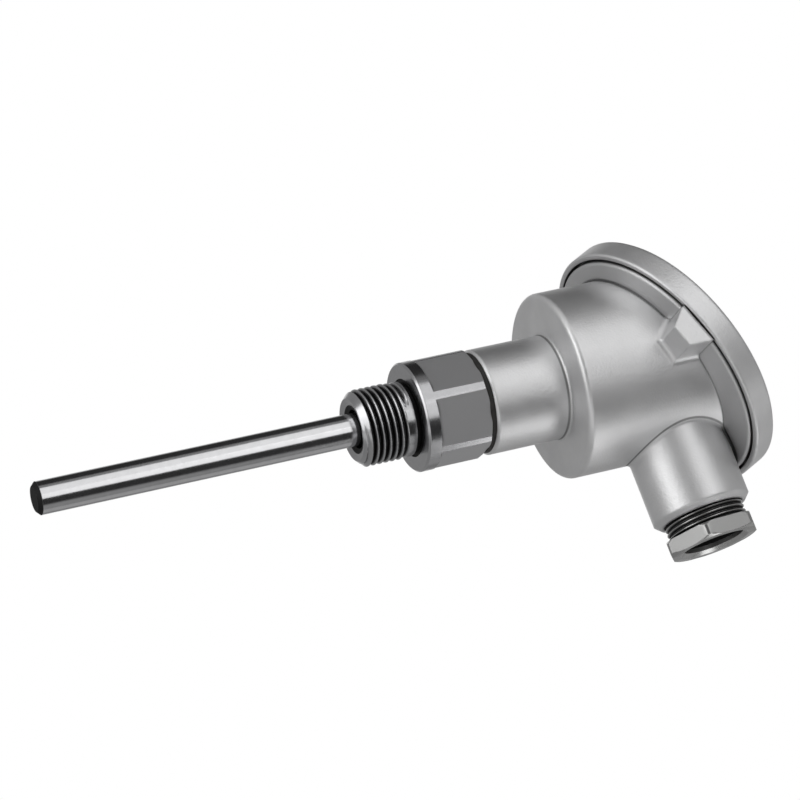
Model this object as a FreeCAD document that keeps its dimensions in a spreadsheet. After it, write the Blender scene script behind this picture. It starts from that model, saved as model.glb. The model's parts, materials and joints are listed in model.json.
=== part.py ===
# Screw-in resistance thermometer: a closed protection tube in a hexagon fitting, carrying a cast
# connection head with a slanted lid, a side cable entry and a spring-loaded measuring insert.
# Frame: origin on the fitting's sealing face, +Z along the probe axis towards the head,
# +X towards the cable entry. The lid leans back from the entry. Millimetres and degrees.
import FreeCAD, Part
import os
import re
import Sketcher
from FreeCAD import Vector

# Driving sizes, each written once. They become the plain cells of the spreadsheet.
SIZES = {
    # protection tube, closed at its tip and brazed into the fitting
    "tube_outer": 9.0,
    "tube_wall": 1.0,
    "tube_end_wall": 1.3,
    "tube_reach": 105.0,
    "tube_tip_bevel": 1.0,
    "tube_socket": 12.0,
    "braze_gap": 0.03,
    # process fitting, from the threaded end up
    "thread_outer": 20.955,
    "thread_length": 16.2,
    "thread_lead": 1.9,
    "land_outer": 20.4,
    "land_length": 2.4,
    "relief_outer": 18.6,
    "relief_width": 1.1,
    "undercut_gap": 0.25,
    "undercut_depth": 0.3,
    "recess_gap": 0.8,
    "recess_depth": 6.0,
    "recess_mouth": 16.0,
    "recess_mouth_depth": 1.15,
    "collar_outer": 30.0,
    "collar_height": 3.7,
    "collar_bevel": 0.5,
    "hex_flats": 27.0,
    "hex_height": 15.2,
    "hex_bevel": 0.6,
    "hex_turn": 29.5,
    "spigot_outer": 24.0,
    "spigot_height": 15.8,
    "spigot_bevel": 1.0,
    "passage_clearance": 0.2,
    # sealing ring between the fitting and the head
    "neck_seal_thickness": 1.3,
    "neck_seal_width": 1.7,
    "running_gap": 0.05,
    # cast head: neck, drum, slanted flange, two lid lugs and the cable entry
    "neck_wall": 2.5,
    "neck_length": 21.8,
    "neck_bevel": 0.6,
    "neck_thread_spare": 1.5,
    "neck_passage": 16.0,
    "root_round": 0.8,
    "chamber_bore": 45.0,
    "drum_wall": 3.25,
    "drum_height": 30.3,
    "drum_round": 1.5,
    "floor_thickness": 4.5,
    "boss_outer": 8.0,
    "boss_height": 1.5,
    "boss_hole_depth": 4.8,
    "lid_slope": 24.5,
    "flange_edge": 4.2,
    "flange_thickness": 4.4,
    "flange_bevel": 0.5,
    "lug_edge": 5.4,
    "lug_gap": 0.4,
    "lug_top": 12.1,
    "lug_foot": 6.4,
    "lug_depth": 6.0,
    "lug_hole_depth": 4.2,
    "lug_round": 2.0,
    "entry_drop": 1.3,
    "entry_tilt": 3.0,
    "entry_wall": 2.55,
    "entry_reach": 44.6,
    "entry_root_round": 1.0,
    "entry_bevel": 1.5,
    "entry_thread": 22.5,
    "entry_depth": 19.1,
    "entry_passage": 17.0,
    "entry_passage_reach": 14.0,
    # lid, its gasket and its two screws
    "lid_height": 7.2,
    "lid_stand_off": 0.88,
    "lid_skirt": 1.5,
    "skirt_clearance": 0.8,
    "lid_gap": 0.4,
    "lid_rim_round": 0.6,
    "lid_top_bevel": 0.8,
    "gasket_margin": 0.47,
    "gasket_width": 3.0,
    "gasket_thickness": 1.5,
    "lid_screw_margin": 2.8,
    "lid_screw_clearance": 0.25,
    "counterbore_clearance": 0.7,
    "lid_counterbore_depth": 1.8,
    "lid_screw_end": 3.4,
    "screw_outer": 4.0,
    "screw_point": 0.4,
    "screw_head": 7.0,
    "screw_head_height": 2.4,
    "screw_slot": 1.0,
    "screw_slot_depth": 1.1,
    # cable gland: washer, rubber seal, pressure ring and pressure screw
    "washer_thickness": 1.0,
    "washer_bore": 15.0,
    "packing_gap": 0.35,
    "seal_length": 8.0,
    "seal_bore": 10.0,
    "gland_bore": 17.0,
    "gland_thread_lead": 0.7,
    "gland_bare_thread": 3.7,
    "gland_relief": 0.8,
    "gland_relief_depth": 0.6,
    "gland_flats": 24.0,
    "gland_corner_cut": 0.5,
    "gland_head": 4.3,
    "gland_bevel": 0.7,
    "gland_mouth": 19.6,
    "gland_mouth_depth": 0.9,
    "gland_turn": -4.0,
    # measuring insert: plate, bush, sheath, filling, element and leads
    "plate_margin": 1.5,
    "plate_thickness": 2.0,
    "plate_lift": 1.5,
    "plate_hole_clearance": 0.3,
    "bush_wall": 1.5,
    "bush_below": 4.0,
    "bush_above": 1.0,
    "sheath_clearance": 0.5,
    "sheath_wall": 0.5,
    "sheath_end_wall": 1.0,
    "sheath_tip_bevel": 0.6,
    "fill_gap": 0.03,
    "element_outer": 2.8,
    "element_length": 25.0,
    "wire_outer": 0.8,
    "wire_circle": 1.8,
    "wire_bend": 2.0,
    # spring screws that press the insert down
    "insert_screw_edge": 4.5,
    "spring_space": 11.0,
    "spring_turns": 6.0,
    "spring_wire": 0.8,
    "spring_clearance": 0.5,
    "spring_end_gap": 0.1,
    # ceramic terminal block
    "block_outer": 36.0,
    "block_gap": 0.5,
    "block_height": 10.0,
    "block_hole": 9.6,
    "well_outer": 13.0,
    "well_depth": 6.4,
    "wire_slot": 1.6,
    "terminal_azimuth": 35.0,
    "terminal_edge": 3.0,
    "terminal_length": 7.0,
    "terminal_width": 5.6,
    "terminal_height": 6.0,
    "terminal_gap": 0.1,
    "terminal_cable_bore": 3.0,
    "terminal_wire_bore": 1.1,
    "terminal_screw": 2.9,
    "terminal_screw_spacing": 3.5,
    "terminal_screw_proud": 1.2,
    "block_screw_edge": 3.2,
    "block_screw": 3.0,
    "block_screw_head": 5.0,
    "block_screw_head_height": 1.8,
    "block_screw_seat": 5.0,
    "block_screw_clearance": 0.2,
}

# Heights and radii worked out from the driving sizes, kept in the same sheet as formulas.
PLACES = {
    "tube_bore": "tube_outer - 2 * tube_wall",
    "recess_bore": "tube_outer + 2 * recess_gap",
    "insert_passage": "tube_bore + passage_clearance",
    "hex_top": "collar_height + hex_height",
    "spigot_top": "hex_top + spigot_height",
    "neck_seal_outer": "spigot_outer + 2 * neck_seal_width",
    "neck_outer": "spigot_outer + 2 * neck_wall",
    "neck_bottom": "hex_top + neck_seal_thickness",
    "drum_outer": "chamber_bore + 2 * drum_wall",
    "drum_bottom": "neck_bottom + neck_length",
    "floor_top": "drum_bottom + floor_thickness",
    "boss_top": "floor_top + boss_height",
    "slope_base": "drum_bottom + drum_height",
    "slope_rise": "tan(lid_slope * 1 deg)",
    "rim_shift": "flange_thickness * slope_rise",
    "gasket_inner": "chamber_bore / cos(lid_slope * 1 deg) + 2 * gasket_margin",
    "gasket_outer": "gasket_inner + 2 * gasket_width",
    "lid_screw_offset": "gasket_outer / 2 + lid_screw_margin",
    "flange_outer": "2 * (lid_screw_offset + flange_edge)",
    "lug_reach": "lid_screw_offset + lug_edge",
    "lug_shoulder": "lid_stand_off - lug_gap",
    "blank_top": "slope_base + drum_outer * slope_rise + 2 * flange_thickness",
    "entry_level": "slope_base - entry_drop",
    "entry_outer": "entry_thread + 2 * entry_wall",
    "gland_shoulder": "entry_reach - entry_depth",
    "seal_bottom": "gland_shoulder + washer_thickness",
    "seal_top": "seal_bottom + seal_length",
    "gland_start": "seal_top + washer_thickness",
    "gland_head_bottom": "entry_reach + gland_bare_thread + gland_relief",
    "gland_end": "gland_head_bottom + gland_head",
    "gland_bar": "2 * gland_flats / sqrt(3) - gland_corner_cut",
    "packing_outer": "entry_thread - 2 * packing_gap",
    "lid_outer": "flange_outer + 2 * (skirt_clearance + lid_skirt)",
    "lid_top": "lid_stand_off + lid_height",
    "lid_under": "flange_thickness + lid_gap",
    "lid_seat": "lid_top - lid_counterbore_depth",
    "lid_counterbore": "screw_head + 2 * counterbore_clearance",
    "plate_outer": "chamber_bore - 2 * plate_margin",
    "insert_screw_offset": "plate_outer / 2 - insert_screw_edge",
    "plate_bottom": "boss_top + plate_lift",
    "plate_top": "plate_bottom + plate_thickness",
    "spring_top": "plate_top + spring_space",
    "block_width": "2 * (insert_screw_offset - screw_head / 2 - block_gap)",
    "block_screw_offset": "block_outer / 2 - block_screw_edge",
    "block_top": "plate_top + block_height",
    "sheath_outer": "tube_bore - 2 * sheath_clearance",
    "bush_outer": "sheath_outer + 2 * bush_wall",
    "sheath_top": "plate_top + bush_above",
    "sheath_tip": "tube_end_wall - tube_reach",
    "element_bottom": "sheath_tip + sheath_end_wall",
    "element_top": "element_bottom + element_length",
    "terminal_inner": "block_outer / 2 - terminal_edge - terminal_length",
    "terminal_bottom": "block_top - terminal_height",
    "wire_level": "terminal_bottom + terminal_height / 2",
    "wire_end": "terminal_inner + (terminal_length - terminal_screw_spacing + terminal_screw) / 2",
}

# The four terminals' directions about the probe axis.
TERMINAL_AZIMUTHS = (
    "terminal_azimuth", "-terminal_azimuth", "180 + terminal_azimuth", "180 - terminal_azimuth",
)

doc = FreeCAD.newDocument("ProbeWithHead")
sheet = doc.addObject("Spreadsheet::Sheet", "Sizes")
WORDS = re.compile(r"\b(" + "|".join([*SIZES, *PLACES]) + r")\b")
UPRIGHT = "placement(vector(0; 0; 0); rotation(vector(0; 0; 1); 0))"


def fill_sheet():
    """Write the driving sizes as numbers and the worked-out places as formulas, with aliases."""
    cells = {name: str(number) for name, number in SIZES.items()}
    cells.update({name: "=" + formula for name, formula in PLACES.items()})
    for row, (name, content) in enumerate(cells.items(), 1):
        sheet.set(f"A{row}", name)
        sheet.set(f"B{row}", content)
        sheet.setAlias(f"B{row}", name)
    doc.recompute()


def linked(formula):
    """Name the sheet in front of each of its aliases, as an expression needs."""
    return WORDS.sub(r"Sizes.\1", str(formula))


def value(formula):
    """The number that a formula of sheet names gives."""
    return float(sheet.evalExpression(linked(formula)))


def bind(thing, **formulas):
    """Tie properties of an object to formulas of sheet names."""
    for name, formula in formulas.items():
        thing.setExpression(name, linked(formula))


def shifted(base, across="0", along="0", up="0"):
    """A placement formula moved by three lengths inside the placement formula base."""
    return f"{base} * placement(vector({across}; {along}; {up}); rotation(vector(0; 0; 1); 0))"


def turned_by(base, angle):
    """A placement formula turned about its own upward axis."""
    return f"{base} * placement(vector(0; 0; 0); rotation(vector(0; 0; 1); {angle}))"


# The lid's frame: its Z is the slanted flange's normal, its origin the centre of the flange underside.
SLOPE = "placement(vector(0; 0; slope_base); rotation(vector(0; 1; 0); -lid_slope))"
LID = shifted(SLOPE, across="rim_shift")
# The cable entry's frame: its Z runs out along the entry, from the probe axis.
ENTRY = "placement(vector(0; 0; entry_level); rotation(vector(0; 1; 0); 90 - entry_tilt))"
# Sketch offsets that lay a sketch of the XZ plane into the slanted frames.
SLOPE_SIDE = "placement(vector(0; slope_base; 0); rotation(vector(0; 0; 1); lid_slope))"
# A sketch of the YZ plane that faces out along the cable entry.
ENTRY_FACE = "placement(vector(0; entry_level; 0); rotation(vector(1; 0; 0); -entry_tilt))"


def new_body(label, place=UPRIGHT):
    """An empty body with its label and a placement tied to the sheet."""
    body = doc.addObject("PartDesign::Body", label)
    body.Label = label
    bind(body, Placement=place)
    return body


def new_sketch(body, name, role, offset=UPRIGHT):
    """A sketch on one of the body's own origin planes, moved by an offset formula."""
    sketch = body.newObject("Sketcher::SketchObject", name)
    plane = next(item for item in body.Origin.OriginFeatures if item.Role == role)
    sketch.AttachmentSupport = (plane, [""])
    sketch.MapMode = "FlatFace"
    bind(sketch, AttachmentOffset=offset)
    return sketch


def pin_point(sketch, geometry, end, across, up):
    """Fix one end of a sketch element at two formulas, measured from the sketch's origin."""
    for kind, formula in (("DistanceX", across), ("DistanceY", up)):
        number = sketch.addConstraint(
            Sketcher.Constraint(kind, -1, 1, geometry, end, value(formula))
        )
        sketch.setExpression(f"Constraints[{number}]", linked(formula))


def draw_outline(sketch, points):
    """Draw a closed outline of straight edges whose corners are pairs of formulas."""
    corners = [Vector(value(across), value(up), 0) for across, up in points]
    first = sketch.GeometryCount
    count = len(points)
    for number in range(count):
        edge = Part.LineSegment(corners[number], corners[(number + 1) % count])
        sketch.addGeometry(edge, False)
    for number in range(count):
        following = first + (number + 1) % count
        sketch.addConstraint(
            Sketcher.Constraint("Coincident", first + number, 2, following, 1)
        )
    for number, (across, up) in enumerate(points):
        pin_point(sketch, first + number, 1, across, up)


def draw_circle(sketch, diameter, across="0", up="0"):
    """Draw a circle of a given diameter formula about a centre."""
    centre = Vector(value(across), value(up), 0)
    circle = Part.Circle(centre, Vector(0, 0, 1), value(diameter) / 2)
    number = sketch.addGeometry(circle, False)
    pin_point(sketch, number, 3, across, up)
    size = sketch.addConstraint(
        Sketcher.Constraint("Diameter", number, value(diameter))
    )
    sketch.setExpression(f"Constraints[{size}]", linked(diameter))


def hexagon(flats, turn):
    """Corner formulas of a hexagon with the given width across flats."""
    angles = [f"(({turn}) + {60 * side}) * 1 deg" for side in range(6)]
    reach = f"({flats}) / sqrt(3)"
    return [(f"{reach} * cos({angle})", f"{reach} * sin({angle})") for angle in angles]


def revolve(body, name, points, offset=UPRIGHT):
    """Turn an outline of (radius, height) formulas about the sketch's upright axis."""
    sketch = new_sketch(body, name + "Profile", "XZ_Plane", offset)
    draw_outline(sketch, points)
    feature = body.newObject("PartDesign::Revolution", name)
    feature.Profile = sketch
    feature.ReferenceAxis = (sketch, ["V_Axis"])
    feature.Angle = 360
    return feature


def pad(body, name, sketch, length, both_ways=False):
    """Grow a sketch into a solid along its normal, or half each way."""
    feature = body.newObject("PartDesign::Pad", name)
    feature.Profile = sketch
    feature.SideType = 2 if both_ways else 0
    bind(feature, Length=length)
    return feature


def pocket(body, name, sketch, length, along_normal=False):
    """Cut a sketch into the solid against its normal, or along it, and see that it cut."""
    doc.recompute()
    before = body.Shape.Volume
    feature = body.newObject("PartDesign::Pocket", name)
    feature.Profile = sketch
    feature.Reversed = along_normal
    bind(feature, Length=length)
    doc.recompute()
    if not body.Shape.Volume < before:
        raise RuntimeError(f"{name} cuts nothing")
    return feature


def circle_edges(shape, radius, height):
    """Names of the full or partial circles of one radius whose centres lie at one height."""
    found = []
    for number, edge in enumerate(shape.Edges, 1):
        curve = edge.Curve
        if isinstance(curve, Part.Circle):
            if abs(curve.Radius - value(radius)) < 1e-4 and abs(curve.Center.z - value(height)) < 1e-4:
                found.append(f"Edge{number}")
    return found


def drum_crossings(shape, radius, at_lugs):
    """Names of the curved edges where the lugs, or otherwise the entry, leave the drum."""
    found = []
    for number, edge in enumerate(shape.Edges, 1):
        if isinstance(edge.Curve, (Part.Line, Part.Circle)):
            continue
        points = edge.discretize(Number=9)
        on_drum = all(abs(Vector(point.x, point.y, 0).Length - value(radius)) < 1e-3 for point in points)
        beside = abs(sum(point.y for point in points) / len(points)) > value(radius) * 0.9
        if on_drum and beside == at_lugs:
            found.append(f"Edge{number}")
    return found


def soften(body, kind, name, edges, size):
    """Round or bevel the named edges of the body's last feature."""
    base = body.Tip
    feature = body.newObject(f"PartDesign::{kind}", name)
    feature.Base = (base, edges)
    bind(feature, **{"Radius" if kind == "Fillet" else "Size": size})
    doc.recompute()
    return feature


def turned_piece(label, points, place=UPRIGHT):
    """A body made by one revolution."""
    body = new_body(label, place)
    revolve(body, "Turned", points)
    return body


def cut_hexagon(body, name, flats, turn, top, height, bar):
    """Mill a hexagon on a turned bar, downwards from a height."""
    sketch = new_sketch(body, name + "Sketch", "XY_Plane", shifted(UPRIGHT, up=top))
    draw_circle(sketch, f"2 * ({bar})")
    draw_outline(sketch, hexagon(flats, turn))
    return pocket(body, name, sketch, height)


def cut_slot(body, name, top):
    """Cut a screwdriver slot across a screw head."""
    sketch = new_sketch(body, name + "Sketch", "XY_Plane", shifted(UPRIGHT, up=top))
    half, reach = "screw_slot / 2", "screw_head"
    draw_outline(sketch, [
        (f"-({half})", f"-({reach})"), (half, f"-({reach})"), (half, reach), (f"-({half})", reach),
    ])
    return pocket(body, name, sketch, "screw_slot_depth")


def make_protection_tube():
    """The closed tube that stands in the process."""
    outer, inner = "tube_outer / 2", "tube_bore / 2"
    return turned_piece("protection_tube", [
        ("0", "-tube_reach"),
        (f"{outer} - tube_tip_bevel", "-tube_reach"),
        (outer, "-tube_reach + tube_tip_bevel"),
        (outer, "tube_socket"),
        (inner, "tube_socket"),
        (inner, "sheath_tip"),
        ("0", "sheath_tip"),
    ])


def make_process_fitting():
    """The screw-in fitting, turned from a round bar with a hexagon milled on it."""
    thread, land, relief = "thread_outer / 2", "land_outer / 2", "relief_outer / 2"
    collar, spigot, passage = "collar_outer / 2", "spigot_outer / 2", "insert_passage / 2"
    socket = "tube_outer / 2 + braze_gap"
    body = turned_piece("process_fitting", [
        ("recess_mouth / 2", "-thread_length"),
        (f"{thread} - thread_lead", "-thread_length"),
        (thread, "-thread_length + thread_lead"),
        (thread, "-relief_width - land_length"),
        (land, "-relief_width - land_length"),
        (land, "-relief_width"),
        (relief, "-relief_width"),
        (relief, "undercut_depth"),
        (f"{thread} + undercut_gap", "undercut_depth"),
        (f"{thread} + undercut_gap", "0"),
        (f"{collar} - collar_bevel", "0"),
        (collar, "collar_bevel"),
        (collar, "hex_top - hex_bevel"),
        (f"{collar} - 2 * hex_bevel", "hex_top"),
        (spigot, "hex_top"),
        (spigot, "spigot_top - spigot_bevel"),
        (f"{spigot} - spigot_bevel", "spigot_top"),
        (f"{passage} + spigot_bevel", "spigot_top"),
        (passage, "spigot_top - spigot_bevel"),
        (passage, "tube_socket"),
        (socket, "tube_socket"),
        (socket, "recess_depth - thread_length"),
        ("recess_bore / 2", "recess_depth - thread_length"),
        ("recess_bore / 2", "recess_mouth_depth - thread_length"),
    ])
    cut_hexagon(body, "Hexagon", "hex_flats", "hex_turn", "hex_top", "hex_height", "collar_outer")
    return body


def ring(label, inner, outer, bottom, top, place=UPRIGHT):
    """A plain flat ring between two heights, from diameter formulas."""
    return turned_piece(label, [
        (f"({inner}) / 2", bottom), (f"({outer}) / 2", bottom),
        (f"({outer}) / 2", top), (f"({inner}) / 2", top),
    ], place)


def make_head_body():
    """The cast head: everything outside first, then the slanted cut and the hollows."""
    body = new_body("head_body")
    neck, drum = "neck_outer / 2", "drum_outer / 2"
    revolve(body, "NeckAndDrum", [
        ("0", "neck_bottom"),
        (f"{neck} - neck_bevel", "neck_bottom"),
        (neck, "neck_bottom + neck_bevel"),
        (neck, "drum_bottom"),
        (drum, "drum_bottom"),
        (drum, "blank_top"),
        ("0", "blank_top"),
    ])
    doc.recompute()
    soften(body, "Fillet", "DrumRound", circle_edges(body.Shape, drum, "drum_bottom"), "drum_round")
    soften(body, "Fillet", "RootRound", circle_edges(body.Shape, neck, "drum_bottom"), "root_round")

    entry = new_sketch(body, "EntrySketch", "YZ_Plane", ENTRY_FACE)
    draw_circle(entry, "entry_outer")
    pad(body, "Entry", entry, "entry_reach")
    doc.recompute()
    soften(body, "Fillet", "EntryRootRound", drum_crossings(body.Shape, drum, False), "entry_root_round")
    end = "entry_level + entry_reach * sin(entry_tilt * 1 deg)"
    soften(body, "Chamfer", "EntryBevel", circle_edges(body.Shape, "entry_outer / 2", end), "entry_bevel")

    lugs = new_sketch(body, "LugSketch", "XZ_Plane", shifted(SLOPE_SIDE, across="rim_shift"))
    draw_outline(lugs, [
        ("-lug_foot / 2", "-lug_depth"), ("lug_foot / 2", "-lug_depth"),
        ("lug_top / 2", "0"), ("lug_top / 2", "lug_shoulder"),
        ("-lug_top / 2", "lug_shoulder"), ("-lug_top / 2", "0"),
    ])
    pad(body, "Lugs", lugs, "2 * lug_reach", both_ways=True)
    flange = "flange_outer / 2"
    revolve(body, "Flange", [
        ("0", "0"), (f"{flange} - flange_bevel", "0"), (flange, "flange_bevel"),
        (flange, "flange_thickness"), ("0", "flange_thickness"),
    ], shifted(SLOPE_SIDE, across="rim_shift"))
    doc.recompute()
    soften(body, "Fillet", "LugRound", drum_crossings(body.Shape, drum, True), "lug_round")

    top = new_sketch(body, "SlantSketch", "XY_Plane", shifted(SLOPE, up="flange_thickness"))
    draw_circle(top, "2 * flange_outer")
    pocket(body, "SlantCut", top, "blank_top", along_normal=True)
    chamber = new_sketch(body, "ChamberSketch", "XY_Plane", shifted(UPRIGHT, up="floor_top"))
    draw_circle(chamber, "chamber_bore")
    pocket(body, "Chamber", chamber, "blank_top", along_normal=True)
    bosses = new_sketch(body, "BossSketch", "XY_Plane", shifted(UPRIGHT, up="floor_top"))
    holes = new_sketch(body, "BossHoleSketch", "XY_Plane", shifted(UPRIGHT, up="boss_top"))
    for side in ("-", ""):
        draw_circle(bosses, "boss_outer", up=side + "insert_screw_offset")
        draw_circle(holes, "screw_outer + 2 * running_gap", up=side + "insert_screw_offset")
    pad(body, "Bosses", bosses, "boss_height")
    pocket(body, "BossHoles", holes, "boss_hole_depth")

    thread = new_sketch(body, "NeckThreadSketch", "XY_Plane", shifted(UPRIGHT, up="neck_bottom"))
    draw_circle(thread, "spigot_outer + 2 * running_gap")
    pocket(body, "NeckThread", thread, "spigot_top + neck_thread_spare - neck_bottom", along_normal=True)
    passage = new_sketch(body, "PassageSketch", "XY_Plane", shifted(UPRIGHT, up="neck_bottom"))
    draw_circle(passage, "neck_passage")
    pocket(body, "Passage", passage, "floor_top - neck_bottom", along_normal=True)

    face = f"{ENTRY_FACE} * placement(vector(0; 0; entry_reach); rotation(vector(0; 0; 1); 0))"
    bore = new_sketch(body, "EntryThreadSketch", "YZ_Plane", face)
    draw_circle(bore, "entry_thread + 2 * running_gap")
    pocket(body, "EntryThread", bore, "entry_depth")
    way = new_sketch(body, "EntryPassageSketch", "YZ_Plane", face)
    draw_circle(way, "entry_passage")
    pocket(body, "EntryPassage", way, "entry_reach - entry_passage_reach")

    lid_holes = new_sketch(body, "LidHoleSketch", "XY_Plane", shifted(LID, up="flange_thickness"))
    for side in ("-", ""):
        draw_circle(lid_holes, "screw_outer + 2 * running_gap", up=side + "lid_screw_offset")
    pocket(body, "LidHoles", lid_holes, "flange_thickness + lug_hole_depth")
    return body


def make_lid():
    """The slanted cap: a plate with a skirt, a gasket groove and two counterbored holes."""
    outer, skirt = "lid_outer / 2", "lid_outer / 2 - lid_skirt"
    groove = "flange_thickness + gasket_thickness"
    body = turned_piece("lid", [
        ("0", "lid_under"), ("0", "lid_top"),
        (f"{outer} - lid_top_bevel", "lid_top"), (outer, "lid_top - lid_top_bevel"),
        (outer, "lid_stand_off"), (skirt, "lid_stand_off"), (skirt, "lid_under"),
        ("gasket_outer / 2", "lid_under"), ("gasket_outer / 2", groove),
        ("gasket_inner / 2", groove), ("gasket_inner / 2", "lid_under"),
    ], LID)
    doc.recompute()
    rim = circle_edges(body.Tip.Shape, outer, "lid_stand_off")
    soften(body, "Fillet", "RimRound", rim, "lid_rim_round")
    bores = (
        ("Counterbore", "lid_counterbore", "lid_counterbore_depth"),
        ("ScrewHole", "screw_outer + 2 * lid_screw_clearance", "lid_height"),
    )
    for name, diameter, depth in bores:
        sketch = new_sketch(body, name + "Sketch", "XY_Plane", shifted(UPRIGHT, up="lid_top"))
        for side in ("-", ""):
            draw_circle(sketch, diameter, up=side + "lid_screw_offset")
        pocket(body, name, sketch, depth)
    return body


def slotted_screw(label, seat, end, place):
    """A cheese-head screw that stands on its end, with its head seated at a height."""
    shank, head = "screw_outer / 2", "screw_head / 2"
    body = turned_piece(label, [
        ("0", end), (f"{shank} - screw_point", end), (shank, f"{end} + screw_point"),
        (shank, seat), (head, seat), (head, f"{seat} + screw_head_height"),
        ("0", f"{seat} + screw_head_height"),
    ], place)
    cut_slot(body, "Slot", f"{seat} + screw_head_height")
    return body


def make_gland():
    """The cable gland's four pieces, all about the entry's axis."""
    thread = "entry_thread / 2"
    ring("gland_washer", "washer_bore", "packing_outer", "gland_shoulder", "seal_bottom", ENTRY)
    ring("gland_seal", "seal_bore", "packing_outer", "seal_bottom", "seal_top", ENTRY)
    ring("gland_pressure_ring", "washer_bore", "packing_outer", "seal_top", "gland_start", ENTRY)
    bore, bar, relief = "gland_bore / 2", "gland_bar / 2", f"{thread} - gland_relief_depth"
    body = turned_piece("gland_screw", [
        (bore, "gland_start"),
        (f"{thread} - gland_thread_lead", "gland_start"),
        (thread, "gland_start + gland_thread_lead"),
        (thread, "gland_head_bottom - gland_relief"),
        (relief, "gland_head_bottom - gland_relief"),
        (relief, "gland_head_bottom"),
        (f"{bar} - gland_bevel", "gland_head_bottom"),
        (bar, "gland_head_bottom + gland_bevel"),
        (bar, "gland_end - gland_bevel"),
        (f"{bar} - 2 * gland_bevel", "gland_end"),
        ("gland_mouth / 2", "gland_end"),
        (bore, "gland_end - gland_mouth_depth"),
    ], ENTRY)
    cut_hexagon(body, "Hexagon", "gland_flats", "gland_turn", "gland_end", "gland_head", "gland_bar")


def make_insert_core():
    """The insert's plate, bush, sheath, mineral filling and sensing element."""
    plate = ring("insert_plate", "bush_outer + 2 * braze_gap", "plate_outer", "plate_bottom", "plate_top")
    holes = new_sketch(plate, "ScrewHoleSketch", "XY_Plane", shifted(UPRIGHT, up="plate_top"))
    for side in ("-", ""):
        draw_circle(holes, "screw_outer + 2 * plate_hole_clearance", up=side + "insert_screw_offset")
    pocket(plate, "ScrewHoles", holes, "plate_thickness")
    fixing = new_sketch(plate, "FixingHoleSketch", "XY_Plane", shifted(UPRIGHT, up="plate_top"))
    for side in ("-", ""):
        draw_circle(fixing, "block_screw + 2 * running_gap", across=side + "block_screw_offset")
    pocket(plate, "FixingHoles", fixing, "plate_thickness")

    bore = "sheath_outer + 2 * braze_gap"
    ring("insert_bush", bore, "bush_outer", "plate_bottom - bush_below", "sheath_top")
    outer, inner = "sheath_outer / 2", "sheath_outer / 2 - sheath_wall"
    turned_piece("insert_sheath", [
        ("0", "sheath_tip"),
        (f"{outer} - sheath_tip_bevel", "sheath_tip"),
        (outer, "sheath_tip + sheath_tip_bevel"),
        (outer, "sheath_top"), (inner, "sheath_top"),
        (inner, "element_bottom"), ("0", "element_bottom"),
    ])
    filling = f"{inner} - fill_gap"
    fill = turned_piece("mineral_filling", [
        ("element_outer / 2 + fill_gap", "element_bottom"), (filling, "element_bottom"),
        (filling, "sheath_top"), ("0", "sheath_top"),
        ("0", "element_top"), ("element_outer / 2 + fill_gap", "element_top"),
    ])
    ways = new_sketch(fill, "WireHoleSketch", "XY_Plane", shifted(UPRIGHT, up="sheath_top"))
    for azimuth in TERMINAL_AZIMUTHS:
        across, up = (f"wire_circle / 2 * {part}(({azimuth}) * 1 deg)" for part in ("cos", "sin"))
        draw_circle(ways, "wire_outer + 2 * fill_gap", across, up)
    pocket(fill, "WireHoles", ways, "sheath_top - element_top")
    turned_piece("sensing_element", [
        ("0", "element_bottom"), ("element_outer / 2", "element_bottom"),
        ("element_outer / 2", "element_top"), ("0", "element_top"),
    ])


def make_lead_wire(number, azimuth):
    """One lead from the element, up the filling and over to its terminal."""
    body = new_body(f"lead_wire_{number}", turned_by(UPRIGHT, azimuth))
    spine = new_sketch(body, "Route", "XZ_Plane")
    start, bend = ("wire_circle / 2", "element_top"), ("wire_circle / 2", "wire_level - wire_bend")
    turn, end = ("wire_circle / 2 + wire_bend", "wire_level"), ("wire_end", "wire_level")
    at = {place: Vector(value(place[0]), value(place[1]), 0) for place in (start, bend, turn, end)}
    centre = at[bend] + Vector(value("wire_bend"), 0, 0)
    middle = centre + Vector(-1, 1, 0).normalize() * value("wire_bend")
    spine.addGeometry(Part.LineSegment(at[start], at[bend]), False)
    spine.addGeometry(Part.Arc(at[bend], middle, at[turn]), False)
    spine.addGeometry(Part.LineSegment(at[turn], at[end]), False)
    arc = spine.Geometry[1]
    low, high = (1, 2) if (arc.StartPoint - at[bend]).Length < 1e-6 else (2, 1)
    spine.addConstraint(Sketcher.Constraint("Coincident", 0, 2, 1, low))
    spine.addConstraint(Sketcher.Constraint("Coincident", 1, high, 2, 1))
    pin_point(spine, 0, 1, *start)
    pin_point(spine, 0, 2, *bend)
    pin_point(spine, 2, 1, *turn)
    pin_point(spine, 2, 2, *end)
    hold = spine.addConstraint(Sketcher.Constraint("DistanceX", -1, 1, 1, 3, centre.x))
    spine.setExpression(f"Constraints[{hold}]", linked("wire_circle / 2 + wire_bend"))
    section = new_sketch(body, "Section", "XY_Plane", shifted(UPRIGHT, up="element_top"))
    draw_circle(section, "wire_outer", across="wire_circle / 2")
    pipe = body.newObject("PartDesign::AdditivePipe", "Lead")
    pipe.Profile = section
    pipe.Spine = (spine, ["Edge1", "Edge2", "Edge3"])


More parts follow.
